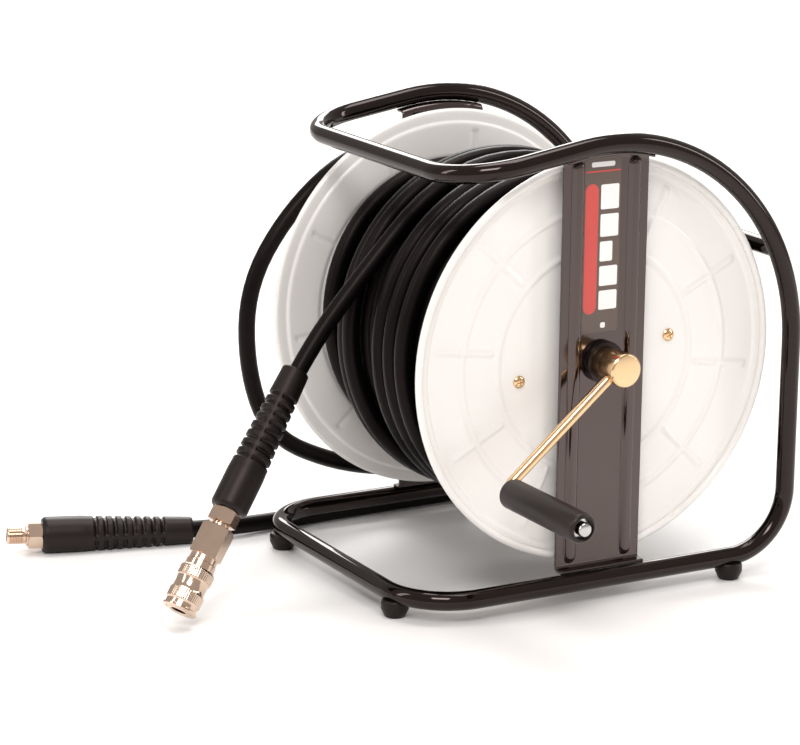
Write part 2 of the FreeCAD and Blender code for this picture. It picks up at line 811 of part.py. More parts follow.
def build_grip():
    """Free-turning grip with its washer and domed end nut on the rod."""
    bore = "rod_radius + running_clearance"
    shelf = "grip_length - grip_recess_depth"
    body = turned_about_z("grip", [
        (bore, "0"), ("grip_radius - 1.5", "0"), ("grip_radius", "1.5"),
        ("grip_radius", "grip_length - 2"), ("grip_radius - 2", "grip_length"),
        ("grip_recess", "grip_length"), ("grip_recess", shelf), (bore, shelf)])
    seat(body, "crank_grip", grip_frame())
    low = f"{shelf} + running_clearance"
    washer = turned_about_z("grip_washer", [
        (bore, low), ("grip_washer", low), ("grip_washer", f"{low} + 1"), (bore, f"{low} + 1")])
    seat(washer, "grip_washer", grip_frame())
    low = f"{shelf} + 1 + 2 * running_clearance"
    top = f"{low} + grip_nut_length"
    nut = turned_about_z("grip_nut", [
        ("rod_radius", low), ("grip_nut", low), ("grip_nut", f"{top} - 1"),
        ("grip_nut - 1", top), ("0", top), ("0", f"{top} - 3"), ("rod_radius", f"{top} - 3")])
    seat(nut, "grip_end_nut", grip_frame())


# ---- swivel ----

def build_swivel():
    """Swivel elbow on the far journal, and the ferrule that holds the lead-in hose."""
    along = Vector(1, 0, 0)
    start = "plate_y + bush_flange_depth + swivel_gap"
    cap = rod("swivel_barrel", "swivel_radius", f"swivel_end - ( {start} )",
              ("0", start, "0"), Y_AXIS)
    branch = rod("swivel_branch", "branch_radius", "branch_end", ("0", "arm_y", "0"), along)
    journal = rod("swivel_bore", "journal_radius + running_clearance",
                  f"journal_end + swivel_gap - ( {start} )", ("0", start, "0"), Y_AXIS)
    relief = rod("swivel_relief", "shaft_radius + swivel_gap", "shoulder_y + swivel_gap - plate_y",
                 ("0", "plate_y", "0"), Y_AXIS)
    passage = rod("branch_bore", "fitting_bore", "branch_end", ("0", "arm_y", "0"), along)
    elbow = cut("swivel_elbow_cut", joined("swivel_solid", cap, branch),
                joined("swivel_tools", journal, relief, passage))
    seat(elbow, "swivel_elbow")
    ferrule = turned_about_z("lead_ferrule", [
        ("fitting_bore", "0"), ("ferrule_radius", "0"), ("ferrule_radius", "ferrule_length - 5"),
        ("hose_radius + 0.8", "ferrule_length"), ("fitting_bore", "ferrule_length")])
    local = Placement(Vector(size("branch_end"), size("arm_y"), 0),
                      Rotation(Vector(0, 0, 1), along))
    seat(ferrule, "swivel_ferrule", local)


# ---- free hoses and their ends ----

def end_frame(start, axis):
    """A hose end's pieces are drawn along +Z from the restrictor's small mouth."""
    return Placement(start, Rotation(Vector(0, 0, 1), axis))


def report_cord(name, points, radii, path):
    tightest = min(radii)
    longest = max((b - a).Length for a, b in zip(points, points[1:]))
    print(f"{name}: length {path.Length:.0f} mm, tightest arc {tightest:.1f} mm, "
          f"longest run {longest:.0f} mm")
    print("   radii", [round(radius) for radius in radii])


def build_cord(name, points):
    radii = cord_radii(points)
    path = rounded_path(points, radii)
    report_cord(name, points, radii, path)
    shaped(name, bar_along(path, size("hose_radius")))


def working_route():
    """Round the drum in the open lane, off the top, and into the restrictor."""
    reach = size("lane_radius") / math.cos(math.radians(LANE_STEP / 2))
    lane_y = size("lane_y")
    points = []
    for angle in LANE_TURNS:
        turned = math.radians(angle)
        points.append(Vector(reach * math.cos(turned), lane_y, reach * math.sin(turned)))
    heading = math.radians(LANE_TURNS[0] - LANE_STEP / 2 - 90)
    along = Vector(math.cos(heading), 0, math.sin(heading))
    points.insert(0, points[0] + along * size("lane_start"))
    points += [Vector(*point) for point in WORKING_POINTS]
    points.append(WORKING_START + WORKING_AXIS * size("hose_insert"))
    return points


def lead_route():
    """From the swivel's ferrule, round one open turn and forward along the floor."""
    exit_x = size("branch_end") + size("ferrule_length")
    points = [Vector(exit_x, size("arm_y"), 0)]
    points += [Vector(*point) for point in LEAD_POINTS]
    points.append(LEAD_START + LEAD_AXIS * size("hose_insert"))
    return points


def restrictor_outline():
    """Tapered rubber sleeve: grooved middle, plain ends, flared mouth, fitting inside."""
    def skin(height):
        return f"sleeve_small + ( sleeve_big - sleeve_small ) * ( {height} ) / sleeve_length"
    points = [("sleeve_mouth", "0"), ("sleeve_small - 1", "0"), (skin("1"), "1")]
    for groove in range(RESTRICTOR_GROOVES):
        low = f"groove_start + {groove} * groove_pitch"
        high = f"{low} + groove_width"
        points += [(skin(low), low), (f"{skin(low)} - groove_depth", low),
                   (f"{skin(high)} - groove_depth", high), (skin(high), high)]
    seat_radius = "stem_radius + sleeve_clearance"
    bore = "hose_radius + sleeve_clearance"
    points += [(skin("sleeve_length - 1"), "sleeve_length - 1"),
               ("sleeve_big - 1", "sleeve_length"), (seat_radius, "sleeve_length"),
               (seat_radius, "hose_insert"), (bore, "hose_insert"),
               (bore, "sleeve_mouth_depth"), ("sleeve_mouth", "sleeve_mouth_depth - 6")]
    return points


def build_hose_end(prefix, frame):
    """Bend restrictor and the stem that the hose is crimped to."""
    seat(turned_about_z(prefix + "_restrictor", restrictor_outline()),
         prefix + "_bend_restrictor", frame)
    stem = turned_about_z(prefix + "_stem", [
        ("fitting_bore", "hose_insert"), ("stem_radius - 1", "hose_insert"),
        ("stem_radius", "hose_insert + 1"), ("stem_radius", "sleeve_length"),
        ("fitting_bore", "sleeve_length")])
    seat(stem, prefix + "_hose_stem", frame)


def build_plug(frame):
    """Hexagon and male thread on the lead-in hose."""
    body = new_body("inlet_plug")
    start = "sleeve_length + hex_gap"
    pad(body, "plug_hex", hexagon(body, "plug_hex_section", "hex_flats", start), "hex_length")
    flank = f"{start} + hex_length"
    neck = f"{flank} + neck_length"
    tip = f"{neck} + thread_length"
    sketch = outline(body, "plug_section", "XZ_Plane", [
        ("0", flank), ("neck_radius", flank), ("neck_radius", neck), ("thread_radius", neck),
        ("thread_radius", f"{tip} - 1"), ("thread_radius - 1", tip), ("0", tip)])
    turn(body, "plug_nose", sketch)
    bore = circle(body, "plug_bore", "XY_Plane", "0", "0", "fitting_bore", start)
    pocket(body, "plug_bore_cut", bore, "2 * sleeve_length", reverse=True)
    seat(body, "inlet_plug", frame)


def build_adapter(frame):
    """Hexagon adapter between the working hose and the coupler."""
    body = new_body("hose_adapter")
    start = "sleeve_length + hex_gap"
    pad(body, "adapter_hex", hexagon(body, "adapter_hex_section", "hex_flats", start),
        "hex_length")
    flank = f"{start} + hex_length"
    tip = f"{flank} + adapter_neck_length + adapter_thread_length"
    sketch = outline(body, "adapter_section", "XZ_Plane", [
        ("0", flank), ("adapter_thread", flank), ("adapter_thread", tip), ("0", tip)])
    turn(body, "adapter_nose", sketch)
    bore = circle(body, "adapter_bore", "XY_Plane", "0", "0", "fitting_bore", start)
    pocket(body, "adapter_bore_cut", bore, "2 * sleeve_length", reverse=True)
    seat(body, "hose_adapter", frame)


COUPLER_START = "sleeve_length + hex_gap + hex_length + adapter_neck_length"
COUPLER_SHOULDER = f"{COUPLER_START} + body_length"
COUPLER_TIP = f"{COUPLER_SHOULDER} + barrel_length"


def build_coupler_body(frame):
    """Hexagon body and the barrel whose mouth takes a nipple."""
    body = new_body("coupler_body")
    hexed = hexagon(body, "coupler_hex_section", "body_flats", COUPLER_START)
    pad(body, "coupler_hex", hexed, "body_length")
    land = f"{COUPLER_SHOULDER} + spring_seat"
    sketch = outline(body, "barrel_section", "XZ_Plane", [
        ("0", COUPLER_SHOULDER), ("pocket_radius - land_clearance", COUPLER_SHOULDER),
        ("pocket_radius - land_clearance", land), ("barrel_radius", land),
        ("barrel_radius", COUPLER_TIP), ("0", COUPLER_TIP)])
    turn(body, "barrel", sketch)
    thread_end = f"{COUPLER_START} + adapter_thread_length + 0.5"
    chamber = f"{COUPLER_TIP} - chamber_depth"
    mouth = f"{COUPLER_TIP} - mouth_depth"
    bores = outline(body, "bore_section", "XZ_Plane", [
        ("0", COUPLER_START), ("adapter_thread + weld_gap", COUPLER_START),
        ("adapter_thread + weld_gap", thread_end), ("fitting_bore", thread_end),
        ("fitting_bore", chamber), ("chamber_radius", chamber), ("chamber_radius", mouth),
        ("throat_radius", mouth), ("throat_radius", f"{mouth} + throat_length"),
        ("mouth_radius", f"{mouth} + throat_length"), ("mouth_radius", COUPLER_TIP),
        ("0", COUPLER_TIP)])
    turn(body, "bores", bores, kind="PartDesign::Groove")
    hole = circle(body, "ball_hole", "YZ_Plane", "0", f"{COUPLER_TIP} - ball_depth",
                  "ball_radius + running_clearance")
    drill = pocket(body, "ball_hole_cut", hole, "2 * barrel_radius", reverse=True)
    ring_of(body, "ball_holes", drill, BALL_COUNT, "Z_Axis")
    seat(body, "coupler_body", frame)


def coupler_tip():
    """Height of the coupler's mouth along the hose end."""
    parts = ("sleeve_length", "hex_gap", "hex_length", "adapter_neck_length", "body_length",
             "barrel_length")
    return sum(size(part) for part in parts)


def build_coupler_insides(frame):
    """Sliding sleeve, locking balls, check valve, its seat ring and the two springs."""
    start = f"{COUPLER_SHOULDER} + sleeve_start"
    end = f"{start} + slider_length"
    inner = "barrel_radius + sleeve_gap"
    slider = turned_about_z("coupler_sleeve", [
        ("pocket_radius", start), ("slider_waist - 0.4", start), ("slider_waist", f"{start} + 1"),
        ("slider_radius", f"{start} + 4"), ("slider_radius", f"{start} + 11"),
        ("slider_waist", f"{start} + 12"), ("slider_waist", f"{end} - 15"),
        ("slider_radius", f"{end} - 14"), ("slider_radius", f"{end} - 9"),
        ("slider_waist", f"{end} - 8"), ("slider_waist", f"{end} - 3"),
        ("slider_radius", f"{end} - 2"), ("slider_radius", end), (inner, end),
        (inner, f"{start} + pocket_length"), ("pocket_radius", f"{start} + pocket_length")])
    seat(slider, "coupler_sleeve", frame)
    balls = []
    for step in range(BALL_COUNT):
        angle = 2 * math.pi * step / BALL_COUNT
        reach = size("mouth_radius") + size("ball_radius")
        centre = Vector(reach * math.cos(angle), reach * math.sin(angle),
                        coupler_tip() - size("ball_depth"))
        balls.append(Part.makeSphere(size("ball_radius"), centre))
    shaped("coupler_balls", Part.makeCompound(balls), frame)
    stem = "chamber_radius - poppet_clearance"
    mouth = f"{COUPLER_TIP} - mouth_depth"
    back = f"{mouth} - valve_length"
    poppet = turned_about_z("coupler_valve", [
        ("0", back), (stem, back), (stem, f"{mouth} - weld_gap"),
        ("valve_nose", f"{mouth} - weld_gap"), ("valve_nose", f"{mouth} + 4"),
        ("0", f"{mouth} + 4")])
    seat(poppet, "coupler_valve", frame)
    outer = "throat_radius - weld_gap"
    ring = turned_about_z("nipple_seal", [
        (f"{outer} - 1.2", f"{mouth} + 5"), (outer, f"{mouth} + 5"),
        (outer, f"{mouth} + 7"), (f"{outer} - 1.2", f"{mouth} + 7")])
    seat(ring, "coupler_nipple_seal", frame)
    tip = coupler_tip()
    foot = tip - size("barrel_length") + size("spring_seat")
    top = tip - size("barrel_length") + size("sleeve_start") + size("pocket_length")
    radius = (size("barrel_radius") + size("pocket_radius")) / 2
    seat_spring("sleeve_spring", frame, radius, foot, top)
    foot = tip - size("chamber_depth")
    top = tip - size("mouth_depth") - size("valve_length")
    seat_spring("valve_spring", frame, size("chamber_radius") - 1.5, foot, top)


def seat_spring(name, frame, radius, foot, top):
    """A round-wire helical spring between two faces across the coupler."""
    wire = size("spring_wire")
    height = top - foot - 2 * wire - 2 * size("weld_gap")
    helix = Part.makeHelix(height / SPRING_TURNS, height, radius)
    section = Part.Wire([Part.Circle(Vector(radius, 0, 0), Vector(0, 1, 0), wire).toShape()])
    coil = Part.Wire(helix.Edges).makePipeShell([section], True, True)
    lift = Vector(0, 0, foot + wire + size("weld_gap"))
    shaped(name, coil, frame.multiply(Placement(lift, Rotation())))


def check_and_export():
    """Stop on any failed object or bad shape, then write one file for each piece."""
    DOC.recompute()
    failed = [item.Label for item in DOC.Objects if {"Invalid", "Error"} & set(item.State)]
    if failed:
        raise RuntimeError("failed objects: " + ", ".join(failed))
    for name, item in NODES.items():
        if item.Shape.isNull() or not item.Shape.isValid() or not item.Shape.Solids:
            raise RuntimeError("bad shape: " + name)
    os.makedirs("parts", exist_ok=True)
    for name, item in NODES.items():
        item.Shape.exportStep(os.path.join("parts", name + ".step"))
    print(len(NODES), "pieces; shift", [round(value, 3) for value in SHIFT])


outer_loops = build_cage()
build_feet(outer_loops)
build_side_plates()
build_label()
build_bushes()
build_core()
build_flanges()
build_flange_screws()
build_shaft()
build_seal_rings()
build_thrust_washers()
build_drum_outlet()
build_winding()
build_crank()
build_grip()
build_swivel()
build_cord("working_hose", working_route())
build_cord("lead_in_hose", lead_route())
working_frame = end_frame(WORKING_START, WORKING_AXIS)
lead_frame = end_frame(LEAD_START, LEAD_AXIS)
build_hose_end("working", working_frame)
build_hose_end("lead_in", lead_frame)
build_plug(lead_frame)
build_adapter(working_frame)
build_coupler_body(working_frame)
build_coupler_insides(working_frame)
check_and_export()
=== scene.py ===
"""Looks of a portable hand-crank hose reel: enamelled tube cage, pressed white flanges, rubber hoses."""

import json
import logging
import math
from dataclasses import dataclass
from enum import Enum
from typing import Callable, Iterable, Sequence

import bmesh
import bpy
from mathutils import Matrix, Vector


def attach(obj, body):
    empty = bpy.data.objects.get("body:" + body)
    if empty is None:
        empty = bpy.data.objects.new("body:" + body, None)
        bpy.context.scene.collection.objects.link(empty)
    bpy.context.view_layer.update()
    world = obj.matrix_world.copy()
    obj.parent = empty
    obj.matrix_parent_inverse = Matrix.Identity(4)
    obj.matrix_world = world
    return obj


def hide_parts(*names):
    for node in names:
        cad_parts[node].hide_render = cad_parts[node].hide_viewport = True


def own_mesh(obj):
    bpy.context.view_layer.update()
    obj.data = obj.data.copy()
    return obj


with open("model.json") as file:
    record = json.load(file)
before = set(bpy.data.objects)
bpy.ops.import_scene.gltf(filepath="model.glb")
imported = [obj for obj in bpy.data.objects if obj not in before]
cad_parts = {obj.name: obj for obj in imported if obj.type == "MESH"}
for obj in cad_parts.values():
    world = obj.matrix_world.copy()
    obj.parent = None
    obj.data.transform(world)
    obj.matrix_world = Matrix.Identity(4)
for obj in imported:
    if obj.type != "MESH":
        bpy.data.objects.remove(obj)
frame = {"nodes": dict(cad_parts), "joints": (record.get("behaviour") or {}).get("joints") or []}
LOG = logging.getLogger("hose_reel")
MM = 0.001
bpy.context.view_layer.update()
HINGES = {joint["name"]: joint for joint in frame["joints"]}
AXLE = Vector(HINGES["reel_spin"]["pos_m"])


class Body(Enum):
    """The CAD bodies that the pieces made here ride on."""

    CAGE = "cage"
    REEL = "reel"
    GRIP = "grip"
    SLEEVE = "coupler_sleeve"


class Side(Enum):
    """The two ends of the axle, with the direction that each one faces."""

    NEAR = -1
    FAR = 1

    @property
    def word(self) -> str:
        """The side's word in the names of CAD nodes.

        Returns:
            The member's name in small letters.
        """
        return self.name.lower()


# ---- finishes ----


def linear(colour: str) -> tuple[float, float, float, float]:
    """Turn an sRGB hex colour to linear light.

    Args:
        colour: six hex digits with a leading #.

    Returns:
        Red, green, blue and an alpha of one.
    """
    channels = [int(colour[place : place + 2], 16) / 255 for place in (1, 3, 5)]
    low = [value / 12.92 if value <= 0.04045 else ((value + 0.055) / 1.055) ** 2.4 for value in channels]
    return (low[0], low[1], low[2], 1.0)


def add(tree: bpy.types.NodeTree, kind: str, inputs: dict | None = None, **settings) -> bpy.types.Node:
    """Add one node.

    Args:
        tree: the node tree.
        kind: the node's type name.
        inputs: socket name or number to a value, or to the output socket that feeds it.
        settings: attributes of the node.

    Returns:
        The new node.
    """
    node = tree.nodes.new(kind)
    for name, value in settings.items():
        setattr(node, name, value)
    for socket, value in (inputs or {}).items():
        if isinstance(value, bpy.types.NodeSocket):
            tree.links.new(value, node.inputs[socket])
        else:
            node.inputs[socket].default_value = value
    return node


@dataclass(frozen=True)
class Finish:
    """A surface made of one material, with a cloudy tone, an uneven gloss and a fine relief.

    cloud_mm is the size of the tone's patches, grain_mm the spacing of the relief and relief_mm its
    depth. sheen_tint tints the reflections; here it is a painted warm tint that stands in for the warm light
    they reflect.
    """

    name: str
    colour: str
    second: str
    roughness: float
    uneven: float = 0.05
    metallic: float = 0.0
    ior: float = 1.5
    coat: float = 0.0
    sheen_tint: str = "#ffffff"
    cloud_mm: float = 40.0
    grain_mm: float = 1.0
    relief_mm: float = 0.02

    def material(self) -> bpy.types.Material:
        """Make the material, or find it if it's there already.

        Returns:
            The Blender material.
        """
        known = bpy.data.materials.get(self.name)
        if known:
            return known
        material = bpy.data.materials.new(self.name)
        material.use_nodes = True
        tree = material.node_tree
        tree.nodes.clear()
        place = add(tree, "ShaderNodeTexCoord").outputs["Object"]
        cloud = self.noise(tree, place, self.cloud_mm, 4.0)
        tone = add(tree, "ShaderNodeMix", {0: cloud, 6: linear(self.colour), 7: linear(self.second)},
                   data_type="RGBA")
        grain = self.noise(tree, place, self.grain_mm, 3.0)
        gloss = add(tree, "ShaderNodeMapRange", {
            "Value": grain, "From Min": 0.25, "From Max": 0.75,
            "To Min": max(self.roughness - self.uneven, 0.02), "To Max": self.roughness + self.uneven})
        bump = add(tree, "ShaderNodeBump", {
            "Height": grain, "Distance": self.relief_mm * MM, "Strength": 1.0})
        shader = add(tree, "ShaderNodeBsdfPrincipled", {
            "Base Color": tone.outputs[2], "Roughness": gloss.outputs[0], "Normal": bump.outputs[0],
            "Metallic": self.metallic, "IOR": self.ior, "Coat Weight": self.coat,
            "Coat Roughness": 0.04, "Specular Tint": linear(self.sheen_tint)})
        add(tree, "ShaderNodeOutputMaterial", {"Surface": shader.outputs[0]})
        return material

    @staticmethod
    def noise(tree: bpy.types.NodeTree, place: bpy.types.NodeSocket, size_mm: float,
              detail: float) -> bpy.types.NodeSocket:
        """Noise whose patches have a real size.

        Args:
            tree: the node tree.
            place: the coordinates in metres.
            size_mm: the size of one patch.
            detail: how many finer layers it has.

        Returns:
            The noise's factor.
        """
        inputs = {"Vector": place, "Scale": 1 / (size_mm * MM), "Detail": detail, "Roughness": 0.5}
        return add(tree, "ShaderNodeTexNoise", inputs).outputs[0]


# Painted warm tint of the reflections on the dark finishes, standing in for the warmth of the light.
WARM_REFLECTION_TINT = "#ffe8e3"

# Stoved gloss enamel on tube and plate: near black with a warm cast, mirror-like with slight orange peel;
# its reflections carry the painted warm tint.
ENAMEL = Finish("gloss_enamel", "#080505", "#0d0908", 0.08, 0.02, ior=1.45, sheen_tint=WARM_REFLECTION_TINT, cloud_mm=60,
                grain_mm=5, relief_mm=0.012)
# A lit copy of the same enamel for the flat plates: a higher IOR strengthens their real reflection, and a
# slightly lighter base is painted light. Both give the plates their brighter look.
LIT_PLATE_ENAMEL = Finish("lit_copy_plate_enamel", "#0d0807", "#120c0a", 0.12, 0.02, ior=1.9, sheen_tint=WARM_REFLECTION_TINT,
                      cloud_mm=60, grain_mm=5, relief_mm=0.012)
# Baked white paint on pressed sheet: soft gloss, the faintest warm clouding.
WHITE_PAINT = Finish("baked_white_paint", "#f1efec", "#e9e6e3", 0.24, 0.04, ior=1.5, coat=0.15,
                     cloud_mm=90, grain_mm=4, relief_mm=0.015)
# Extruded hose cover: satin black with a fine grain.
HOSE_COVER = Finish("extruded_hose_cover", "#040304", "#070606", 0.4, 0.06, ior=1.24, sheen_tint=WARM_REFLECTION_TINT,
                    cloud_mm=25, grain_mm=0.9, relief_mm=0.03)
# Moulded rubber of the bend restrictors and feet: satin, slightly dusty.
MOULDED_RUBBER = Finish("moulded_rubber", "#070606", "#0d0b0b", 0.44, 0.07, ior=1.4, sheen_tint=WARM_REFLECTION_TINT,
                        cloud_mm=18, grain_mm=0.7, relief_mm=0.04)
# Glass-filled grip plastic: charcoal with a fine moulded grain.
GRIP_PLASTIC = Finish("grained_grip_plastic", "#141211", "#1b1817", 0.4, 0.08, ior=1.44, sheen_tint=WARM_REFLECTION_TINT,
                      cloud_mm=20, grain_mm=0.5, relief_mm=0.05)
# Acetal of the bushes: smooth, dark, waxy.
BUSH_PLASTIC = Finish("acetal_bush", "#0d0a0a", "#131010", 0.3, 0.04, ior=1.45, sheen_tint=WARM_REFLECTION_TINT, cloud_mm=15,
                      grain_mm=0.6, relief_mm=0.01)
# Yellow passivated zinc plate: pale gold with pinkish and greenish clouds over turned steel.
YELLOW_ZINC = Finish("yellow_passivated_zinc", "#efc79b", "#e2c69c", 0.2, 0.05, metallic=1.0, cloud_mm=9,
                     grain_mm=0.5, relief_mm=0.008)
# Clear zinc on sheet steel: bluish grey spangle.
CLEAR_ZINC = Finish("clear_zinc_sheet", "#a9abad", "#bfc1c2", 0.34, 0.08, metallic=1.0, cloud_mm=12,
                    grain_mm=1.2, relief_mm=0.01)
# Bright ground steel of the shaft, washers, balls and the grip's end nut.
BRIGHT_STEEL = Finish("ground_steel", "#c9c8c6", "#bab9b8", 0.17, 0.05, metallic=1.0, cloud_mm=8,
                      grain_mm=0.4, relief_mm=0.006)
# Nickel plate on turned brass: warm grey, bright, with the faint steps of turning.
NICKEL = Finish("nickel_plated_brass", "#e0c9b6", "#cfb8a5", 0.15, 0.05, metallic=1.0, cloud_mm=10,
                grain_mm=0.45, relief_mm=0.01)
# Printed films of the side strip.
DARK_FILM = Finish("dark_printed_film", "#57483f", "#5c4c44", 0.2, 0.03, ior=1.5, coat=0.3, cloud_mm=30,
                   grain_mm=3, relief_mm=0.005)
RED_FILM = Finish("red_printed_film", "#cc4740", "#c6413b", 0.24, 0.03, ior=1.5, coat=0.3, cloud_mm=30,
                  grain_mm=3, relief_mm=0.005)
WHITE_FILM = Finish("white_printed_film", "#f4f2f1", "#efeceb", 0.25, 0.03, ior=1.5, coat=0.3,
                    cloud_mm=30, grain_mm=3, relief_mm=0.005)
FLOOR = Finish("matt_studio_floor", "#f4f3f2", "#f2f1f0", 0.75, 0.03, cloud_mm=400, grain_mm=3,
               relief_mm=0.01)


# ---- building ----


def about_axle(local: Matrix | None = None) -> Matrix:
    """The matrix from millimetres about the axle, or about a local frame there, to the row frame.

    Args:
        local: a frame in mm about the axle, or None for the axle's own.

    Returns:
        The matrix to metres in the row frame.
    """
    return Matrix.Translation(AXLE) @ Matrix.Scale(MM, 4) @ (local or Matrix.Identity(4))


def toward(axis: Vector, origin: Vector, roll_deg: float = 0.0) -> Matrix:
    """A frame whose Z points along an axis.

    Args:
        axis: the direction of the frame's Z.
        origin: the frame's origin, in mm about the axle.
        roll_deg: how far the frame is turned about its own Z.

    Returns:
        The frame's matrix.
    """
    turned_frame = axis.to_track_quat("Z", "Y").to_matrix().to_4x4()
    return Matrix.Translation(origin) @ turned_frame @ Matrix.Rotation(math.radians(roll_deg), 4, "Z")


@dataclass
class Piece:
    """One finished piece: its mesh, the body it rides on, its finish and what it stands for."""

    name: str
    body: Body
    finish: Finish
    slot: str
    replaced: tuple[str, ...] = ()
    sharp_deg: float = 32.0

    def from_bmesh(self, mesh: bmesh.types.BMesh, local: Matrix | None = None,
                   wall_mm: float = 0.0) -> bpy.types.Object:
        """Turn a bmesh in millimetres into the finished object.

        Args:
            mesh: the shape, which is freed.
            local: the frame that the shape is drawn in, about the axle.
            wall_mm: the thickness given to an open sheet, grown against its normals.

        Returns:
            The object, at the origin with its place in its mesh.
        """
        bmesh.ops.remove_doubles(mesh, verts=mesh.verts, dist=0.001)
        mesh.transform(about_axle(local))
        bmesh.ops.recalc_face_normals(mesh, faces=mesh.faces)
        limit = math.radians(self.sharp_deg)
        for face in mesh.faces:
            face.smooth = True
        for edge in mesh.edges:
            edge.smooth = not (edge.is_manifold and edge.calc_face_angle(0.0) > limit)
        data = bpy.data.meshes.new(self.name)
        mesh.to_mesh(data)
        mesh.free()
        thing = bpy.data.objects.new(self.name, data)
        bpy.context.scene.collection.objects.link(thing)
        if wall_mm:
            wall = thing.modifiers.new("wall", "SOLIDIFY")
            wall.thickness = wall_mm * MM
            wall.offset = 0.0
            wall.use_quality_normals = True
        return self.declare(thing)

    def declare(self, thing: bpy.types.Object) -> bpy.types.Object:
        """Dress an object, let it ride on its body and hide the CAD nodes that it stands for.

        Args:
            thing: the object, in place.

        Returns:
            The same object.
        """
        thing.data.materials.clear()
        thing.data.materials.append(self.finish.material())
        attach(thing, self.body.value)
        if self.replaced:
            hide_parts(*self.replaced)
        LOG.info("piece %s on %s", self.name, self.body.value)
        return thing


def turned(outline: Sequence[tuple[float, float]], steps: int = 64,
           closed: bool = False) -> bmesh.types.BMesh:
    """Turn an outline a full turn about Z.

    Args:
        outline: radius and height of each corner, in mm.
        steps: how many faces go round.
        closed: whether the last corner joins the first, as on a ring.

    Returns:
        The turned shape.
    """
    mesh = bmesh.new()
    corners = [mesh.verts.new((radius, 0.0, height)) for radius, height in outline]
    edges = [mesh.edges.new(pair) for pair in zip(corners, corners[1:])]
    if closed:
        edges.append(mesh.edges.new((corners[-1], corners[0])))
    bmesh.ops.spin(mesh, geom=corners + edges, cent=(0, 0, 0), axis=(0, 0, 1), dvec=(0, 0, 0),
                   angle=2 * math.pi, steps=steps, use_merge=True, use_duplicate=False)
    bmesh.ops.remove_doubles(mesh, verts=mesh.verts, dist=0.001)
    return mesh


def soften(mesh: bmesh.types.BMesh, radius: float, segments: int = 2, sharper_than: float = 28.0) -> None:
    """Round the sharp edges of a shape.

    Args:
        mesh: the shape.
        radius: the size of the rounding, in mm.
        segments: how many faces each rounding has.
        sharper_than: the least angle between two faces that counts as sharp, in degrees.
    """
    bmesh.ops.recalc_face_normals(mesh, faces=mesh.faces)
    limit = math.radians(sharper_than)
    edges = [edge for edge in mesh.edges if edge.is_manifold and edge.calc_face_angle(0.0) > limit]
    bmesh.ops.bevel(mesh, geom=edges, offset=radius, segments=segments, profile=0.5, affect="EDGES",
                    clamp_overlap=True, material=-1)


def bent_bar(corners: Sequence[Vector], bends: Sequence[float], radius: float,
             facets: int = 32) -> bmesh.types.BMesh:
    """A round bar of straight runs and bends that touch them.

    Args:
        corners: the points of its centreline, ends included.
        bends: the bend radius at each inner corner.
        radius: the bar's own radius.
        facets: how many faces go round it.

    Returns:
        The closed bar.
    """
    mesh = bmesh.new()
    first = (corners[1] - corners[0]).normalized()
    start = Matrix.Translation(corners[0]) @ first.to_track_quat("Z", "Y").to_matrix().to_4x4()
    bmesh.ops.create_circle(mesh, cap_ends=True, segments=facets, radius=radius, matrix=start)
    ring = list(mesh.edges)
    here = corners[0]
    for before, corner, after, bend in zip(corners, corners[1:], corners[2:], bends):
        into = (corner - before).normalized()
        out = (after - corner).normalized()
        turn = into.angle(out)
        reach = bend * math.tan(turn / 2)
        ring = run(mesh, ring, corner - into * reach - here)
        axis = into.cross(out).normalized()
        centre = corner - into * reach + axis.cross(into) * bend
        steps = max(3, round(math.degrees(turn) / 3))
        spun = bmesh.ops.spin(mesh, geom=ring, cent=centre, axis=axis, dvec=(0, 0, 0), angle=turn,
                              steps=steps, use_merge=False, use_duplicate=False)
        ring = [part for part in spun["geom_last"] if isinstance(part, bmesh.types.BMEdge)]
        here = corner + out * reach
    ring = run(mesh, ring, corners[-1] - here)
    bmesh.ops.contextual_create(mesh, geom=ring)
    return mesh


def run(mesh: bmesh.types.BMesh, ring: Iterable[bmesh.types.BMEdge], move: Vector) -> list:
    """Draw a ring of edges out along a straight run, and return the ring at its end.

    Args:
        mesh: the shape.
        ring: the edges at its open end.
        move: the run.

    Returns:
        The edges at the new end.
    """
    drawn = bmesh.ops.extrude_edge_only(mesh, edges=list(ring))["geom"]
    points = [part for part in drawn if isinstance(part, bmesh.types.BMVert)]
    bmesh.ops.translate(mesh, verts=points, vec=move)
    ends = set(points)
    return [part for part in drawn if isinstance(part, bmesh.types.BMEdge) and set(part.verts) <= ends]


def hexagon(flats: float, low: float, high: float, chamfer: float) -> bmesh.types.BMesh:
    """A hexagonal bar with both ends' corners turned off.

    Args:
        flats: the width across the flats.
        low: the height of its lower end.
        high: the height of its upper end.
        chamfer: how deep the corners are turned off.

    Returns:
        The closed shape.
    """
    corner = flats / 2 / math.cos(math.pi / 6)
    mesh = turned([(0, low), (corner - chamfer, low), (corner, low + chamfer * 0.6),
                   (corner, high - chamfer * 0.6), (corner - chamfer, high), (0, high)], steps=96)
    for step in range(6):
        angle = math.radians(60 * step + 30)
        normal = Vector((math.cos(angle), math.sin(angle), 0))
        whole = mesh.verts[:] + mesh.edges[:] + mesh.faces[:]
        bmesh.ops.bisect_plane(mesh, geom=whole, dist=0.0001, plane_co=normal * flats / 2,
                               plane_no=normal, clear_outer=True, clear_inner=False)
        rim = [edge for edge in mesh.edges if edge.is_boundary]
        bmesh.ops.holes_fill(mesh, edges=rim, sides=0)
    bmesh.ops.recalc_face_normals(mesh, faces=mesh.faces)
    return mesh


def bridge(height: float) -> float:
    """A smooth step from 0 to 1.

    Args:
        height: how far along the step, from 0 to 1, or past its ends.

    Returns:
        The step's height.
    """
    clipped = min(max(height, 0.0), 1.0)
    return clipped * clipped * (3 - 2 * clipped)


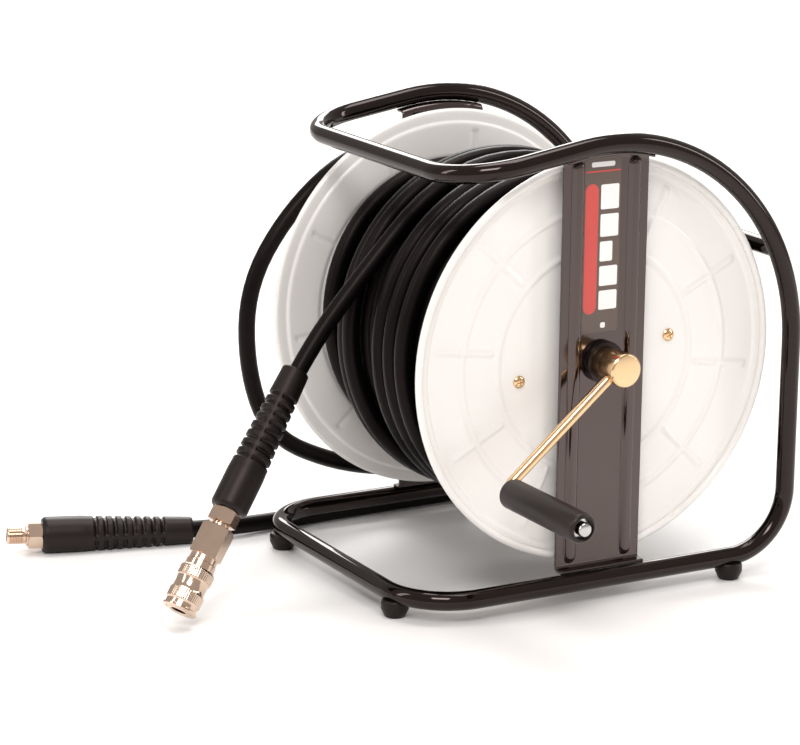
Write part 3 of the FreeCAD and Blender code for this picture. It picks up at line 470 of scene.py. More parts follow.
@dataclass
class Cage:
    """Bent-tube cage with its side plates, feet, bushes and the blank strip on the near plate."""

    tube: float = 7.0
    facets: int = 40
    bend: float = 48.0
    loop_radius: float = 161.0
    loop_y: float = 128.0
    joint_y: float = 60.0
    handle: tuple[float, float] = (-122.0, 143.0)
    front_x: float = -154.0
    floor: float = -178.8
    foot: float = 10.0
    cross_radius: float = 6.5
    cross_angle: float = 26.0
    plate_y: float = 119.0
    plate_half: float = 35.5
    plate_wall: float = 2.0
    plate_bend: float = 3.0
    lip: float = 9.0
    rib_x: float = 23.8
    rib_half: float = 4.6
    rib_rise: float = 3.5
    rib_end: float = 144.0
    rib_flank: float = 2.4
    bush_hole: float = 13.0
    bush_bore: float = 10.06
    bush_flange: float = 15.5
    bush_depth: float = 6.0
    foot_y: float = 90.0
    foot_x: float = 112.0

    @property
    def bottom(self) -> float:
        """Height of the bottom tubes' centrelines.

        Returns:
            The height in mm.
        """
        return self.floor + self.foot + self.tube

    def loop_corners(self, side: Side) -> list[Vector]:
        """Corners of one side loop's centreline.

        Args:
            side: which loop.

        Returns:
            Six corners, from the handle's joint to the front bar's joint.
        """
        y = side.value * self.loop_y
        joint = side.value * self.joint_y
        x, z = self.handle
        touch = math.atan2(z, x) - math.acos(self.loop_radius / math.hypot(x, z))
        return [Vector((x, joint, z)), Vector((x, y, z)),
                Vector((self.loop_radius, y, self.loop_radius * math.tan(touch / 2))),
                Vector((self.loop_radius, y, self.bottom)), Vector((self.front_x, y, self.bottom)),
                Vector((self.front_x, joint, self.bottom))]

    def build(self) -> None:
        """Build every piece of the cage."""
        bends = [self.bend, self.loop_radius, self.bend, self.bend]
        for side in Side:
            name = side.word + "_side_loop"
            loop = bent_bar(self.loop_corners(side), bends, self.tube, self.facets)
            Piece("tube_" + name, Body.CAGE, ENAMEL, "cage_enamel", (name,)).from_bmesh(loop)
            self.side_plate(side)
            self.bush(side)
        ends = [self.loop_corners(side) for side in Side]
        for name, corner in (("handle_bar", 0), ("front_cross_bar", -1)):
            bar = bent_bar([ends[0][corner], ends[1][corner]], [], self.tube, self.facets)
            Piece("tube_" + name, Body.CAGE, ENAMEL, "cage_enamel", (name,)).from_bmesh(bar)
        angle = math.radians(self.cross_angle)
        middle = Vector((math.cos(angle), 0, math.sin(angle))) * self.loop_radius
        half = Vector((0, self.loop_y - self.tube / 2, 0))
        cross = bent_bar([middle - half, middle + half], [], self.cross_radius, 32)
        Piece("tube_rear_cross_bar", Body.CAGE, ENAMEL, "cage_enamel", ("rear_cross_bar",)).from_bmesh(cross)
        self.feet()
        self.strip()

    def plate_point(self, side: Side, across: float, along: float) -> Vector:
        """Place a point of the flat blank on the bent and pressed plate.

        Args:
            side: which plate.
            across: from -1 to 1 over the plate's width.
            along: from 0, the end of the bottom lip, to 1, the end of the top lip.

        Returns:
            The point in mm about the axle.
        """
        x = across * self.plate_half
        wall = self.plate_wall / 2
        low = self.bottom + self.tube + wall
        high = math.sqrt((self.loop_radius - self.tube - wall) ** 2 - x * x)
        quarter = self.plate_bend * math.pi / 2
        flat = self.lip - self.plate_bend
        tall = high - low - 2 * self.plate_bend
        way = along * (2 * flat + 2 * quarter + tall)
        top = way > flat + quarter + tall / 2
        if top:
            way = 2 * flat + 2 * quarter + tall - way
        if way < flat:
            out, rise = self.lip - way, 0.0
        elif way < flat + quarter:
            turn = (way - flat) / self.plate_bend
            out = self.plate_bend * (1 - math.sin(turn))
            rise = self.plate_bend * (1 - math.cos(turn))
        else:
            out, rise = 0.0, way - flat - quarter + self.plate_bend
        z = high - rise if top else low + rise
        away = math.hypot(abs(x) - self.rib_x, max(abs(z) - self.rib_end, 0.0))
        rib = self.rib_rise * bridge((self.rib_half - away) / self.rib_flank)
        y = self.plate_y - wall + out + rib
        return Vector((x, side.value * y, z))

    def side_plate(self, side: Side) -> None:
        """Press one side plate: two ribs, a lip at each end and the bush's hole.

        Args:
            side: which plate.
        """
        mesh = bmesh.new()
        bmesh.ops.create_grid(mesh, x_segments=78, y_segments=240, size=1.0)
        for point in mesh.verts:
            point.co = self.plate_point(side, point.co.x, (point.co.y + 1) / 2)
        hole = [point for point in mesh.verts if math.hypot(point.co.x, point.co.z) < self.bush_hole]
        bmesh.ops.delete(mesh, geom=hole, context="VERTS")
        for point in mesh.verts:
            reach = math.hypot(point.co.x, point.co.z)
            if point.is_boundary and reach < self.bush_hole + 4:
                point.co.x *= self.bush_hole / reach
                point.co.z *= self.bush_hole / reach
        name = side.word + "_side_plate"
        # The plates wear the lit copy of the enamel, with a painted lighter base for the light they catch.
        Piece("pressed_" + name, Body.CAGE, LIT_PLATE_ENAMEL, "cage_enamel", (name,), 60).from_bmesh(
            mesh, wall_mm=self.plate_wall)

    def bush(self, side: Side) -> None:
        """Turn one flanged bush.

        Args:
            side: which bush.
        """
        inner = self.plate_y - self.plate_wall - 2.6
        outer = self.plate_y + self.bush_depth
        mesh = turned([(self.bush_bore, inner), (self.bush_hole, inner), (self.bush_hole, self.plate_y),
                       (self.bush_flange, self.plate_y), (self.bush_flange, outer),
                       (self.bush_bore, outer)], closed=True)
        soften(mesh, 0.8)
        name = side.word + "_bearing_bush"
        facing = toward(Vector((0, side.value, 0)), Vector())
        Piece("flanged_" + name, Body.CAGE, BUSH_PLASTIC, "black_plastic", (name,)).from_bmesh(
            mesh, facing)

    def feet(self) -> None:
        """Turn the four rubber feet, each with its screw's recess."""
        mesh = bmesh.new()
        past = self.foot_y - (self.loop_y - self.bend)
        front = self.front_x + self.bend - math.sqrt(self.bend**2 - past**2)
        for side in Side:
            for x, y in ((front, self.foot_y), (self.foot_x, self.loop_y)):
                foot = turned([(2.1, 3), (3.7, 3), (3.7, 0), (7.4, 0), (10.2, 6), (10.2, 10.5), (9.4, 13),
                               (2.1, 13)], steps=48, closed=True)
                soften(foot, 0.7)
                foot.transform(Matrix.Translation((x, side.value * y, self.floor)))
                merge(mesh, foot)
        Piece("moulded_feet", Body.CAGE, MOULDED_RUBBER, "black_rubber", ("rubber_feet",)).from_bmesh(mesh)

    def strip(self) -> None:
        """Lay the blank strip on the near plate: dark film, red bar and plain white blocks."""
        face = -self.plate_y
        films = [("strip_film", DARK_FILM, 0.12, 2.0, [(-18.6, 12.0, 22.0, 150.2)]),
                 ("strip_red_bar", RED_FILM, 0.2, 5.4, [(-17.6, -6.6, 36.0, 131.0)]),
                 ("strip_red_line", RED_FILM, 0.2, 0.3, [(-18.0, 11.4, 139.2, 140.4)]),
                 ("strip_white_blocks", WHITE_FILM, 0.3, 1.2, [
                     (-4.6, 10.6, 112.0, 130.0), (-4.6, 10.6, 92.0, 108.5), (-4.6, 6.0, 74.0, 88.5),
                     (-4.6, 10.6, 56.0, 70.5), (-4.6, 10.6, 38.5, 52.5), (-2.6, 1.4, 25.0, 29.0),
                     (-13.0, 6.6, 143.0, 146.6)])]
        for name, finish, rise, rounding, boxes in films:
            mesh = bmesh.new()
            for left, right, low, high in boxes:
                merge(mesh, self.film(left, right, low, high, rounding, face - rise))
            replaced = ("label_strip",) if finish is DARK_FILM else ()
            Piece(name, Body.CAGE, finish, "label_film", replaced).from_bmesh(mesh)

    @staticmethod
    def film(left: float, right: float, low: float, high: float, rounding: float,
             outer: float) -> bmesh.types.BMesh:
        """A thin upright rectangle with round corners.

        Args:
            left: lowest X.
            right: highest X.
            low: lowest Z.
            high: highest Z.
            rounding: the corners' radius.
            outer: Y of its outer face.

        Returns:
            The closed film.
        """
        mesh = bmesh.new()
        bmesh.ops.create_grid(mesh, x_segments=1, y_segments=1, size=0.5)
        size = Vector((right - left, high - low, 1.0))
        bmesh.ops.scale(mesh, verts=mesh.verts, vec=size)
        radius = min(rounding, min(size.x, size.y) / 2 - 0.05)
        bmesh.ops.bevel(mesh, geom=mesh.verts[:], offset=radius, segments=8, profile=0.5,
                        affect="VERTICES", material=-1)
        up = Matrix.Rotation(math.radians(90), 4, "X")
        mesh.transform(Matrix.Translation(((left + right) / 2, outer, (low + high) / 2)) @ up)
        back = bmesh.ops.extrude_face_region(mesh, geom=mesh.faces[:])["geom"]
        points = [part for part in back if isinstance(part, bmesh.types.BMVert)]
        bmesh.ops.translate(mesh, verts=points, vec=(0, 0.5, 0))
        return mesh


def merge(into: bmesh.types.BMesh, part: bmesh.types.BMesh) -> None:
    """Add one shape to another and free it.

    Args:
        into: the shape that grows.
        part: the shape that is added.
    """
    data = bpy.data.meshes.new("part")
    part.to_mesh(data)
    part.free()
    into.from_mesh(data)
    bpy.data.meshes.remove(data)


@dataclass
class Drum:
    """Pressed flanges with their beads and screws, and the drum's core."""

    half: float = 107.0
    radius: float = 150.0
    border: float = 139.0
    bead: float = 2.8
    bore: float = 15.0
    wall: float = 1.5
    ring_beads: tuple[float, float] = (82.0, 111.0)
    bead_rise: float = 1.4
    bead_half: float = 2.3
    radial_beads: int = 10
    radial_from: float = 88.0
    screw_pitch: float = 64.5
    screw_tilt: float = 9.4
    screw_count: int = 4
    core: float = 78.0
    core_bore: float = 10.1
    bead_flank: float = 1.5
    bead_turn_deg: float = 8.0
    border_step: float = 1.5
    rim_sink: float = 0.7

    def build(self) -> None:
        """Build both flanges, their screws and the core."""
        for side in Side:
            self.flange(side)
            self.screws(side)
        core = turned([(self.core_bore, -self.half), (self.core, -self.half), (self.core, self.half),
                       (self.core_bore, self.half)], steps=96, closed=True)
        facing = toward(Vector((0, 1, 0)), Vector())
        Piece("rolled_drum_core", Body.REEL, CLEAR_ZINC, "drum_zinc", ("drum_core",)).from_bmesh(
            core, facing)

    def relief(self, radius: float, angle: float) -> float:
        """Height of the pressed beads.

        Args:
            radius: distance from the axle.
            angle: direction from the axle, in radians.

        Returns:
            How far the sheet stands out, in mm.
        """
        ring = min(abs(radius - ring_bead) for ring_bead in self.ring_beads)
        step = 2 * math.pi / self.radial_beads
        off = (angle + step / 2) % step - step / 2
        ends = max(self.radial_from - radius, radius - self.border + 6, 0.0)
        radial = math.hypot(radius * math.sin(off), ends)
        return self.bead_rise * bridge((self.bead_half - min(radial, ring)) / self.bead_flank)

    def flange(self, side: Side) -> None:
        """Press one flange: disc, beads, raised border and curled rim.

        Args:
            side: which flange.
        """
        middle = self.half + self.wall / 2
        rows = [(radius, middle) for radius in spaced(self.bore, self.border - 1, 1.6)]
        raised = middle + self.border_step
        rows += [(self.border, middle + 0.1), (self.border + 0.8, (middle + raised) / 2),
                 (self.border + 1.6, raised - 0.1), (self.border + 2.4, raised),
                 (self.radius - 2 * self.bead, raised)]
        centre = (self.radius - self.bead, raised + self.bead - self.rim_sink)
        curl = self.bead - self.wall / 2
        for degrees in range(-80, 225, 15):
            angle = math.radians(degrees)
            rows.append((centre[0] + curl * math.cos(angle), centre[1] + curl * math.sin(angle)))
        mesh = turned(rows, steps=420)
        for point in mesh.verts:
            reach = math.hypot(point.co.x, point.co.y)
            if reach < self.border:
                angle = math.atan2(point.co.y, point.co.x) + math.radians(self.bead_turn_deg)
                point.co.z += self.relief(reach, angle)
        name = side.word + "_flange"
        facing = toward(Vector((0, side.value, 0)), Vector())
        Piece("pressed_" + name, Body.REEL, WHITE_PAINT, "flange_paint", (name,), 70).from_bmesh(
            mesh, facing, wall_mm=self.wall)

    def screws(self, side: Side) -> None:
        """Turn the four pan-head screws of one flange, with cross recesses.

        Args:
            side: which flange's screws.
        """
        mesh = bmesh.new()
        face = self.half + self.wall
        for step in range(self.screw_count):
            angle = math.radians(self.screw_tilt + 360 / self.screw_count * step)
            head = cut_cross(turned([(0, 2.6), (2.2, 2.5), (3.7, 1.9), (4.6, 0.9), (4.7, 0.0), (2, 0),
                                     (2, -9), (0, -9)], steps=40))
            out = Vector((math.cos(angle), 0, math.sin(angle))) * self.screw_pitch
            place = out + Vector((0, side.value * face, 0))
            head.transform(toward(Vector((0, side.value, 0)), place, 20 + 40 * step))
            merge(mesh, head)
        name = side.word + "_flange_screws"
        Piece("cross_" + name, Body.REEL, YELLOW_ZINC, "yellow_zinc", (name,)).from_bmesh(mesh)


def spaced(start: float, end: float, step: float) -> list[float]:
    """Evenly spaced numbers from start to end, both included.

    Args:
        start: the first number.
        end: the last number.
        step: about how far apart they are.

    Returns:
        The numbers.
    """
    count = round((end - start) / step)
    return [start + (end - start) * index / count for index in range(count + 1)]


def cut_cross(head: bmesh.types.BMesh, span: float = 2.5, width: float = 0.85,
              depth: float = 1.5) -> bmesh.types.BMesh:
    """Cut a cross recess into a screw's head.

    Args:
        head: the screw about Z, with its head's top about 2.6 mm up.
        span: half the length of each slot.
        width: the slots' width.
        depth: how deep the recess is.

    Returns:
        The cut screw.
    """
    tool = bmesh.new()
    for turn in (0, 90):
        size = Matrix.Diagonal((2 * span, width, 2 * depth, 1))
        spin = Matrix.Rotation(math.radians(turn), 4, "Z")
        bmesh.ops.create_cube(tool, size=1.0, matrix=Matrix.Translation((0, 0, 2.7)) @ spin @ size)
    things = []
    for name, mesh in (("screw", head), ("cross", tool)):
        bmesh.ops.recalc_face_normals(mesh, faces=mesh.faces)
        data = bpy.data.meshes.new(name)
        mesh.to_mesh(data)
        mesh.free()
        thing = bpy.data.objects.new(name, data)
        bpy.context.scene.collection.objects.link(thing)
        things.append(thing)
    cutter = things[0].modifiers.new("recess", "BOOLEAN")
    cutter.operation = "DIFFERENCE"
    cutter.object = things[1]
    cutter.use_self = True
    bpy.context.view_layer.update()
    graph = bpy.context.evaluated_depsgraph_get()
    data = bpy.data.meshes.new_from_object(things[0].evaluated_get(graph))
    result = bmesh.new()
    result.from_mesh(data)
    for thing in things:
        bpy.data.objects.remove(thing)
    return result


@dataclass
class Crank:
    """Crank hub, bent rod, grip and the pieces that hold it."""

    arm_deg: float = 220.2
    arm: float = 121.9
    arm_y: float = 141.0
    hub: float = 12.5
    hub_from: float = 125.4
    hub_to: float = 152.0
    rod: float = 4.0
    rod_bend: float = 9.0
    grip_from: float = 150.4
    grip_length: float = 95.6
    grip_radius: float = 11.0

    def build(self) -> None:
        """Build the crank's pieces."""
        about = Matrix.Rotation(math.radians(-self.arm_deg), 4, "Y")
        facing = about @ toward(Vector((0, -1, 0)), Vector())
        hub = turned([(8, self.hub_from), (self.hub, self.hub_from), (self.hub, self.hub_to - 1.2),
                      (self.hub - 1.2, self.hub_to), (0, self.hub_to), (0, self.hub_to - 5.9),
                      (8, self.hub_to - 5.9)], steps=96)
        soften(hub, 0.35)
        Piece("turned_crank_hub", Body.REEL, YELLOW_ZINC, "yellow_zinc", ("crank_hub",)).from_bmesh(
            hub, facing)
        tip = self.grip_from + self.grip_length
        corners = [Vector((8.2, -self.arm_y, 0)), Vector((self.arm, -self.arm_y, 0)),
                   Vector((self.arm, -tip, 0))]
        rod = bent_bar(corners, [self.rod_bend], self.rod, 32)
        Piece("bent_crank_rod", Body.REEL, YELLOW_ZINC, "yellow_zinc", ("crank_rod",)).from_bmesh(
            rod, about)
        grip = about @ toward(Vector((0, -1, 0)), Vector((self.arm, -self.grip_from, 0)))
        self.handle(grip)

    def handle(self, grip: Matrix) -> None:
        """Turn the grip, its washer and its end nut.

        Args:
            grip: the frame whose Z runs along the grip.
        """
        end, radius = self.grip_length, self.grip_radius
        shelf = end - 6
        body = turned([(4.06, 0), (radius - 1.6, 0), (radius, 1.6), (radius, end - 3.4),
                       (radius - 0.8, end - 1.2), (radius - 2.2, end), (7.9, end), (7.6, end - 0.3),
                       (7.6, shelf), (4.06, shelf)], steps=96, closed=True)
        soften(body, 0.6)
        Piece("moulded_grip", Body.GRIP, GRIP_PLASTIC, "black_plastic", ("crank_grip",)).from_bmesh(
            body, grip)
        washer = turned([(4.1, shelf + 0.06), (7.1, shelf + 0.06), (7.1, shelf + 1.06), (4.1, shelf + 1.06)],
                        steps=64, closed=True)
        Piece("flat_grip_washer", Body.REEL, BRIGHT_STEEL, "bright_steel", ("grip_washer",)).from_bmesh(
            washer, grip)
        low = shelf + 1.12
        nut = turned([(4.0, low), (5.0, low), (5.0, low + 6.2), (4.5, low + 7.2), (3.0, low + 7.75),
                      (0, low + 7.8), (0, low + 4.8), (4.0, low + 4.8)], steps=64)
        Piece("domed_end_nut", Body.REEL, BRIGHT_STEEL, "bright_steel", ("grip_end_nut",)).from_bmesh(
            nut, grip)


# Where each hose enters its bend restrictor and which way that points, and the corners of each route.
WORKING_START = Vector((-184.5, 6.0, -14.9))
WORKING_AXIS = Vector((-0.5947, -0.2397, -0.7674))
WORKING_POINTS = [(-136, 12, 40.8), (-177.4, 8.9, -6.7)]
LANE_TURNS = [-66.2, -21.2, 23.8, 68.8, 113.8]
LEAD_START = Vector((-209.6, 135.0, -168.6))
LEAD_AXIS = Vector((-0.9636, 0.2659, 0.0276))
LEAD_FLOOR = -172.0
LEAD_POINTS = [
    (46, 141, 0), (97.7, 141, 0), (138.8, 153, -29.5), (154.5, 163, -77), (138.8, 167, -125),
    (97.7, 166, -154), (46, 165, -157), (-12, 163, -152), (-72, 161, -139),
    (-130, 160, -109), (-150, 160, -52), (-149, 160, 14), (-113, 160, 70),
    (-60, 159, 112), (-5, 157, 116), (58, 155, 101), (112, 152, 62),
    (146, 149, 8), (160, 146, -54), (150, 144, -116), (108, 143, -158),
    (52, 142, LEAD_FLOOR), (-8, 140, LEAD_FLOOR), (-68, 139, LEAD_FLOOR),
    (-130, 136.7, LEAD_FLOOR), (-195.2, 131.0, LEAD_FLOOR + 3),
]


@dataclass(frozen=True)
class Pass:
    """One stretch of the winding: from one place along the axle and radius to another."""

    y_from: float
    y_to: float
    radius_from: float
    radius_to: float
    turns: float
    sway: float = 0.0


@dataclass
class Hoses:
    """The free hoses, the winding on the drum and their end pieces."""

    radius: float = 6.75
    lane_radius: float = 126.5
    lane_y: float = 12.0
    lane_step: float = 45.0
    lane_start: float = 65.0
    insert: float = 50.0
    per_turn: int = 14
    coupler_roll: float = 14.0
    working_roll: float = 60.0
    lead_roll: float = 0.0
    plug_roll: float = 10.0

    def cord(self, name: str, points: Iterable[Vector], body: Body, node: str) -> bpy.types.Object:
        """A smooth hose whose line is drawn by its route's points.

        Args:
            name: the piece's name.
            points: the route, in mm about the axle.
            body: the body it rides on.
            node: the CAD node it stands for.

        Returns:
            The curve.
        """
        data = bpy.data.curves.new(name, "CURVE")
        data.dimensions = "3D"
        data.bevel_depth = self.radius * MM
        data.bevel_resolution = 6
        data.use_fill_caps = True
        data.resolution_u = 6
        places = [about_axle() @ Vector(point) for point in points]
        spline = data.splines.new("NURBS")
        spline.points.add(len(places) - 1)
        for point, place in zip(spline.points, places):
            point.co = (*place, 1.0)
        spline.order_u = 3
        spline.use_endpoint_u = True
        thing = bpy.data.objects.new(name, data)
        bpy.context.scene.collection.objects.link(thing)
        return Piece(name, body, HOSE_COVER, "hose_cover", (node,) if node else ()).declare(thing)

    def working_route(self) -> list[Vector]:
        """Round the drum in the open lane, off the top and into the restrictor.

        Returns:
            The route's points.
        """
        reach = self.lane_radius / math.cos(math.radians(self.lane_step / 2))
        points = []
        for degrees in LANE_TURNS:
            angle = math.radians(degrees)
            points.append(Vector((reach * math.cos(angle), self.lane_y, reach * math.sin(angle))))
        heading = math.radians(LANE_TURNS[0] - self.lane_step / 2 - 90)
        points.insert(0, points[0] + Vector((math.cos(heading), 0, math.sin(heading))) * self.lane_start)
        points += [Vector(point) for point in WORKING_POINTS]
        points.append(WORKING_START + WORKING_AXIS * self.insert)
        return points

    def lead_route(self) -> list[Vector]:
        """From the swivel, round one open turn and forward along the floor.

        Returns:
            The route's points.
        """
        points = [Vector(point) for point in LEAD_POINTS]
        points.append(LEAD_START + LEAD_AXIS * self.insert)
        return points

    def wound(self, passes: Sequence[Pass], start_deg: float) -> list[Vector]:
        """The winding's route, worked out turn by turn.

        Args:
            passes: its stretches, in the order that they are wound.
            start_deg: direction from the axle where it starts.

        Returns:
            The route's points.
        """
        bulge = 1 / math.cos(math.pi / self.per_turn)
        points = []
        angle = math.radians(start_deg)
        for stretch in passes:
            count = round(stretch.turns * self.per_turn)
            for index in range(count):
                share = index / count
                y = stretch.y_from + (stretch.y_to - stretch.y_from) * share
                y += stretch.sway * math.sin(1.7 * angle + 0.6)
                reach = bulge * (stretch.radius_from + (stretch.radius_to - stretch.radius_from) * share)
                points.append(Vector((reach * math.cos(angle), y, reach * math.sin(angle))))
                angle += 2 * math.pi / self.per_turn
        return points

    def build(self) -> None:
        """Build the cords and their end pieces."""
        working = self.cord("working_hose_cord", self.working_route(), Body.CAGE, "working_hose")
        lead = self.cord("lead_in_hose_cord", self.lead_route(), Body.CAGE, "lead_in_hose")
        inner = [Pass(93, 98, 85.2, 85.2, 0.5), Pass(98, -98, 85.2, 85.2, 14.4),
                 Pass(-98, -98, 85.2, 98.8, 0.5), Pass(-98, 98, 98.8, 98.8, 14.4),
                 Pass(98, 94, 98.8, 112.0, 0.5), Pass(94, 57, 112.0, 112.4, 1.0),
                 Pass(57, -98, 112.4, 112.4, 11.4), Pass(-98, -94, 112.4, 125.6, 0.5),
                 Pass(-94, -53, 125.6, 126.2, 1.0), Pass(-53, -3.4, 126.2, 126.2, 3.0, 0.7)]
        winding = self.cord("wound_hose", self.wound(inner, 0.0), Body.REEL, "hose_winding")
        outer = [Pass(42.5, 41, 118, 126.4, 0.25), Pass(41, 27.5, 126.4, 126.4, 2.0, 0.6),
                 Pass(27.5, 27.3, 126.4, 119, 0.25)]
        spare = self.cord("wound_hose_outer_turns", self.wound(outer, -100.0), Body.REEL, "")
        working_ends = HoseEnd("working", toward(WORKING_AXIS, WORKING_START, self.working_roll)).build()
        lead_ends = HoseEnd("lead_in", toward(LEAD_AXIS, LEAD_START, self.lead_roll)).build()
        coupler = Coupler(toward(WORKING_AXIS, WORKING_START, self.coupler_roll)).build()
        plug = self.plug(toward(LEAD_AXIS, LEAD_START, self.plug_roll))
        self.declare(working, "fitting", [*working_ends, *coupler], "loose")
        self.declare(lead, "plug", [*lead_ends, plug, "swivel_ferrule"], "loose")
        self.declare(winding, "object", [], "coiled")
        self.declare(spare, "object", [], "coiled")

    def declare(self, hose: bpy.types.Object, far_end: str, pieces: list, lay: str) -> None:
        """Make a mesh of a hose's bare centreline; nothing more is done with it.

        Args:
            hose: the hose's curve.
            far_end: not used.
            pieces: not used.
            lay: not used.
        """
        graph = bpy.context.evaluated_depsgraph_get()
        bare = hose.data.copy()
        bare.bevel_depth = 0.0
        line = bpy.data.objects.new("line", bare)
        bpy.context.scene.collection.objects.link(line)
        bpy.context.view_layer.update()
        path = bpy.data.meshes.new_from_object(line.evaluated_get(graph))
        bpy.data.objects.remove(line)

    @staticmethod
    def plug(local: Matrix) -> bpy.types.Object:
        """The lead-in hose's hexagon and male thread.

        Args:
            local: the frame of the hose's end.

        Returns:
            The finished plug.
        """
        mesh = hexagon(19.0, 116.3, 127.3, 1.4)
        outline = [(0, 127.0), (8.2, 127.0), (8.2, 128.4), (6.2, 129.4), (6.2, 131.2)]
        for turn in range(9):
            low = 131.2 + 1.25 * turn
            outline += [(6.58, low + 0.35), (6.58, low + 0.6), (6.05, low + 1.1)]
        outline += [(5.8, 143.2), (4.6, 143.3), (4.1, 142.8), (4.0, 120.0), (0, 120.0)]
        merge(mesh, turned(outline, steps=64))
        return Piece("threaded_inlet_plug", Body.CAGE, NICKEL, "nickel_brass", ("inlet_plug",)).from_bmesh(
            mesh, local)


@dataclass
class HoseEnd:
    """Bend restrictor and stem on a hose's end, drawn along Z from the small mouth."""

    prefix: str
    local: Matrix
    length: float = 116.0
    small: float = 10.3
    big: float = 14.0
    grooves: int = 8
    first_groove: float = 20.0
    pitch: float = 7.4
    groove: float = 2.7
    groove_flank: float = 0.9
    depth: float = 1.7
    spine_half: float = 1.2
    spine_flank: float = 1.4
    barrel_swell: float = 0.4

    def skin(self, height: float) -> float:
        """Outer radius without grooves: tapered, with a plain barrel towards the fitting.

        Args:
            height: distance from the small mouth.

        Returns:
            The radius in mm.
        """
        barrel = self.first_groove + self.grooves * self.pitch
        share = min(height / barrel, 1.0)
        taper = (self.big - self.barrel_swell - self.small) * share
        return self.small + taper + self.barrel_swell * bridge((height - barrel) / 8)

    def build(self) -> list:
        """Build the restrictor.

        Returns:
            The restrictor and the name of the stem's CAD node.
        """
        outline = [(6.9, 50.0), (6.9, 14.0), (8.0, 5.0), (8.4, 0.6), (8.9, 0.0), (9.6, 0.0)]
        outline += [(self.skin(height), height) for height in spaced(1.0, self.length - 3.0, 0.75)]
        outline += [(self.big - 0.5, self.length - 1.4), (self.big - 1.6, self.length),
                    (10.2, self.length), (10.1, self.length - 1), (10.1, 51.0)]
        mesh = turned(outline, steps=96, closed=True)
        for point in mesh.verts:
            reach = math.hypot(point.co.x, point.co.y)
            if reach > self.skin(point.co.z) - 0.2 and 1 < point.co.z < self.length - 3:
                angle = math.atan2(point.co.y, point.co.x)
                cut = self.depth * self.groove_share(point.co.z) * self.beside_spine(angle, reach)
                point.co.xy *= (reach - cut) / reach
        name = self.prefix + "_bend_restrictor"
        sleeve = Piece("moulded_" + name, Body.CAGE, MOULDED_RUBBER, "black_rubber", (name,), 60).from_bmesh(
            mesh, self.local)
        return [sleeve, self.prefix + "_hose_stem"]

    def groove_share(self, height: float) -> float:
        """How deep the ring grooves are at a height, from 0 to 1.

        Args:
            height: distance from the small mouth.

        Returns:
            The share of the full depth.
        """
        place = height - self.first_groove
        if not 0 <= place <= self.grooves * self.pitch:
            return 0.0
        off = abs(place % self.pitch - self.pitch / 2)
        return bridge((self.groove / 2 + self.groove_flank / 2 - off) / self.groove_flank)

    def beside_spine(self, angle: float, reach: float) -> float:
        """0 on the two lengthwise spines and 1 away from them.

        Args:
            angle: direction from the middle, in radians.
            reach: distance from the middle.

        Returns:
            The share of the full depth.
        """
        off = reach * abs(math.sin(angle))
        return bridge((off - self.spine_half) / self.spine_flank)


@dataclass
class Coupler:
    """Adapter, hexagon body and sliding sleeve of the quick coupler."""

    local: Matrix
    start: float = 116.3
    body_from: float = 130.3
    body_to: float = 159.3
    tip: float = 197.8
    knurls: int = 24
    band: float = 12.9
    knurl_share: float = 0.016
    knurl_lead: float = 2.0

    def build(self) -> list:
        """Build the coupler.

        Returns:
            Its pieces, with the names of the CAD nodes inside it.
        """
        adapter = hexagon(19.0, self.start, self.start + 11, 1.4)
        neck = self.start + 11
        merge(adapter, turned([(0, neck - 0.1), (6.4, neck - 0.1), (6.4, neck + 12), (0, neck + 12)]))
        first = Piece("hexagon_adapter", Body.CAGE, NICKEL, "nickel_brass", ("hose_adapter",)).from_bmesh(
            adapter, self.local)
        body = hexagon(21.5, self.body_from, self.body_to - 4.5, 1.8)
        shoulder = self.body_to
        merge(body, turned([
            (0, shoulder - 4.7), (10.6, shoulder - 4.7), (10.6, shoulder - 0.6), (10.0, shoulder),
            (11.3, shoulder + 0.2), (11.3, shoulder + 7), (9.6, shoulder + 7), (9.6, self.tip - 1),
            (8.8, self.tip), (6.7, self.tip), (6.15, self.tip - 0.8), (6.15, self.tip - 16),
            (5.7, self.tip - 16), (5.7, self.tip - 24), (0, self.tip - 24)], steps=80))
        second = Piece("hexagon_coupler_body", Body.CAGE, NICKEL, "nickel_brass",
                       ("coupler_body",)).from_bmesh(body, self.local)
        third = Piece("grooved_coupler_sleeve", Body.SLEEVE, NICKEL, "nickel_brass",
                      ("coupler_sleeve",)).from_bmesh(self.sleeve(), self.local)
        inside = ["coupler_balls", "coupler_nipple_seal", "coupler_valve", "sleeve_spring", "valve_spring"]
        return [first, second, third, *inside]

    def sleeve(self) -> bmesh.types.BMesh:
        """The sleeve: two knurled bands with a waist between them, and an end lip.

        Returns:
            The closed shape.
        """
        low = self.body_to + 5
        high = low + 33
        tail = spaced(low + 1.8, low + 8.4, 0.6)
        nose = spaced(low + 18.8, high - 6.6, 0.6)
        outline = [(11.4, low), (11.7, low), (self.band, low + 1.4),
                   *((self.band, height) for height in tail),
                   (12.1, low + 9.2), (11.8, low + 12.0), (11.8, low + 15.5), (12.2, low + 18.0),
                   *((self.band, height) for height in nose), (11.9, high - 5.6), (12.0, high - 2.6),
                   (13.1, high - 1.9), (13.1, high - 0.7), (12.4, high), (10.4, high), (9.7, high - 0.8),
                   (9.68, low + 15), (11.4, low + 15)]
        mesh = turned(outline, steps=240, closed=True)
        for point in mesh.verts:
            reach = math.hypot(point.co.x, point.co.y)
            if abs(reach - self.band) < 0.01:
                angle = self.knurls * math.atan2(point.co.y, point.co.x)
                height = self.knurl_lead * point.co.z
                diamond = math.sin(angle + height) * math.sin(angle - height)
                point.co.xy *= 1 + self.knurl_share * diamond
        soften(mesh, 0.12, 1, 60)
        return mesh


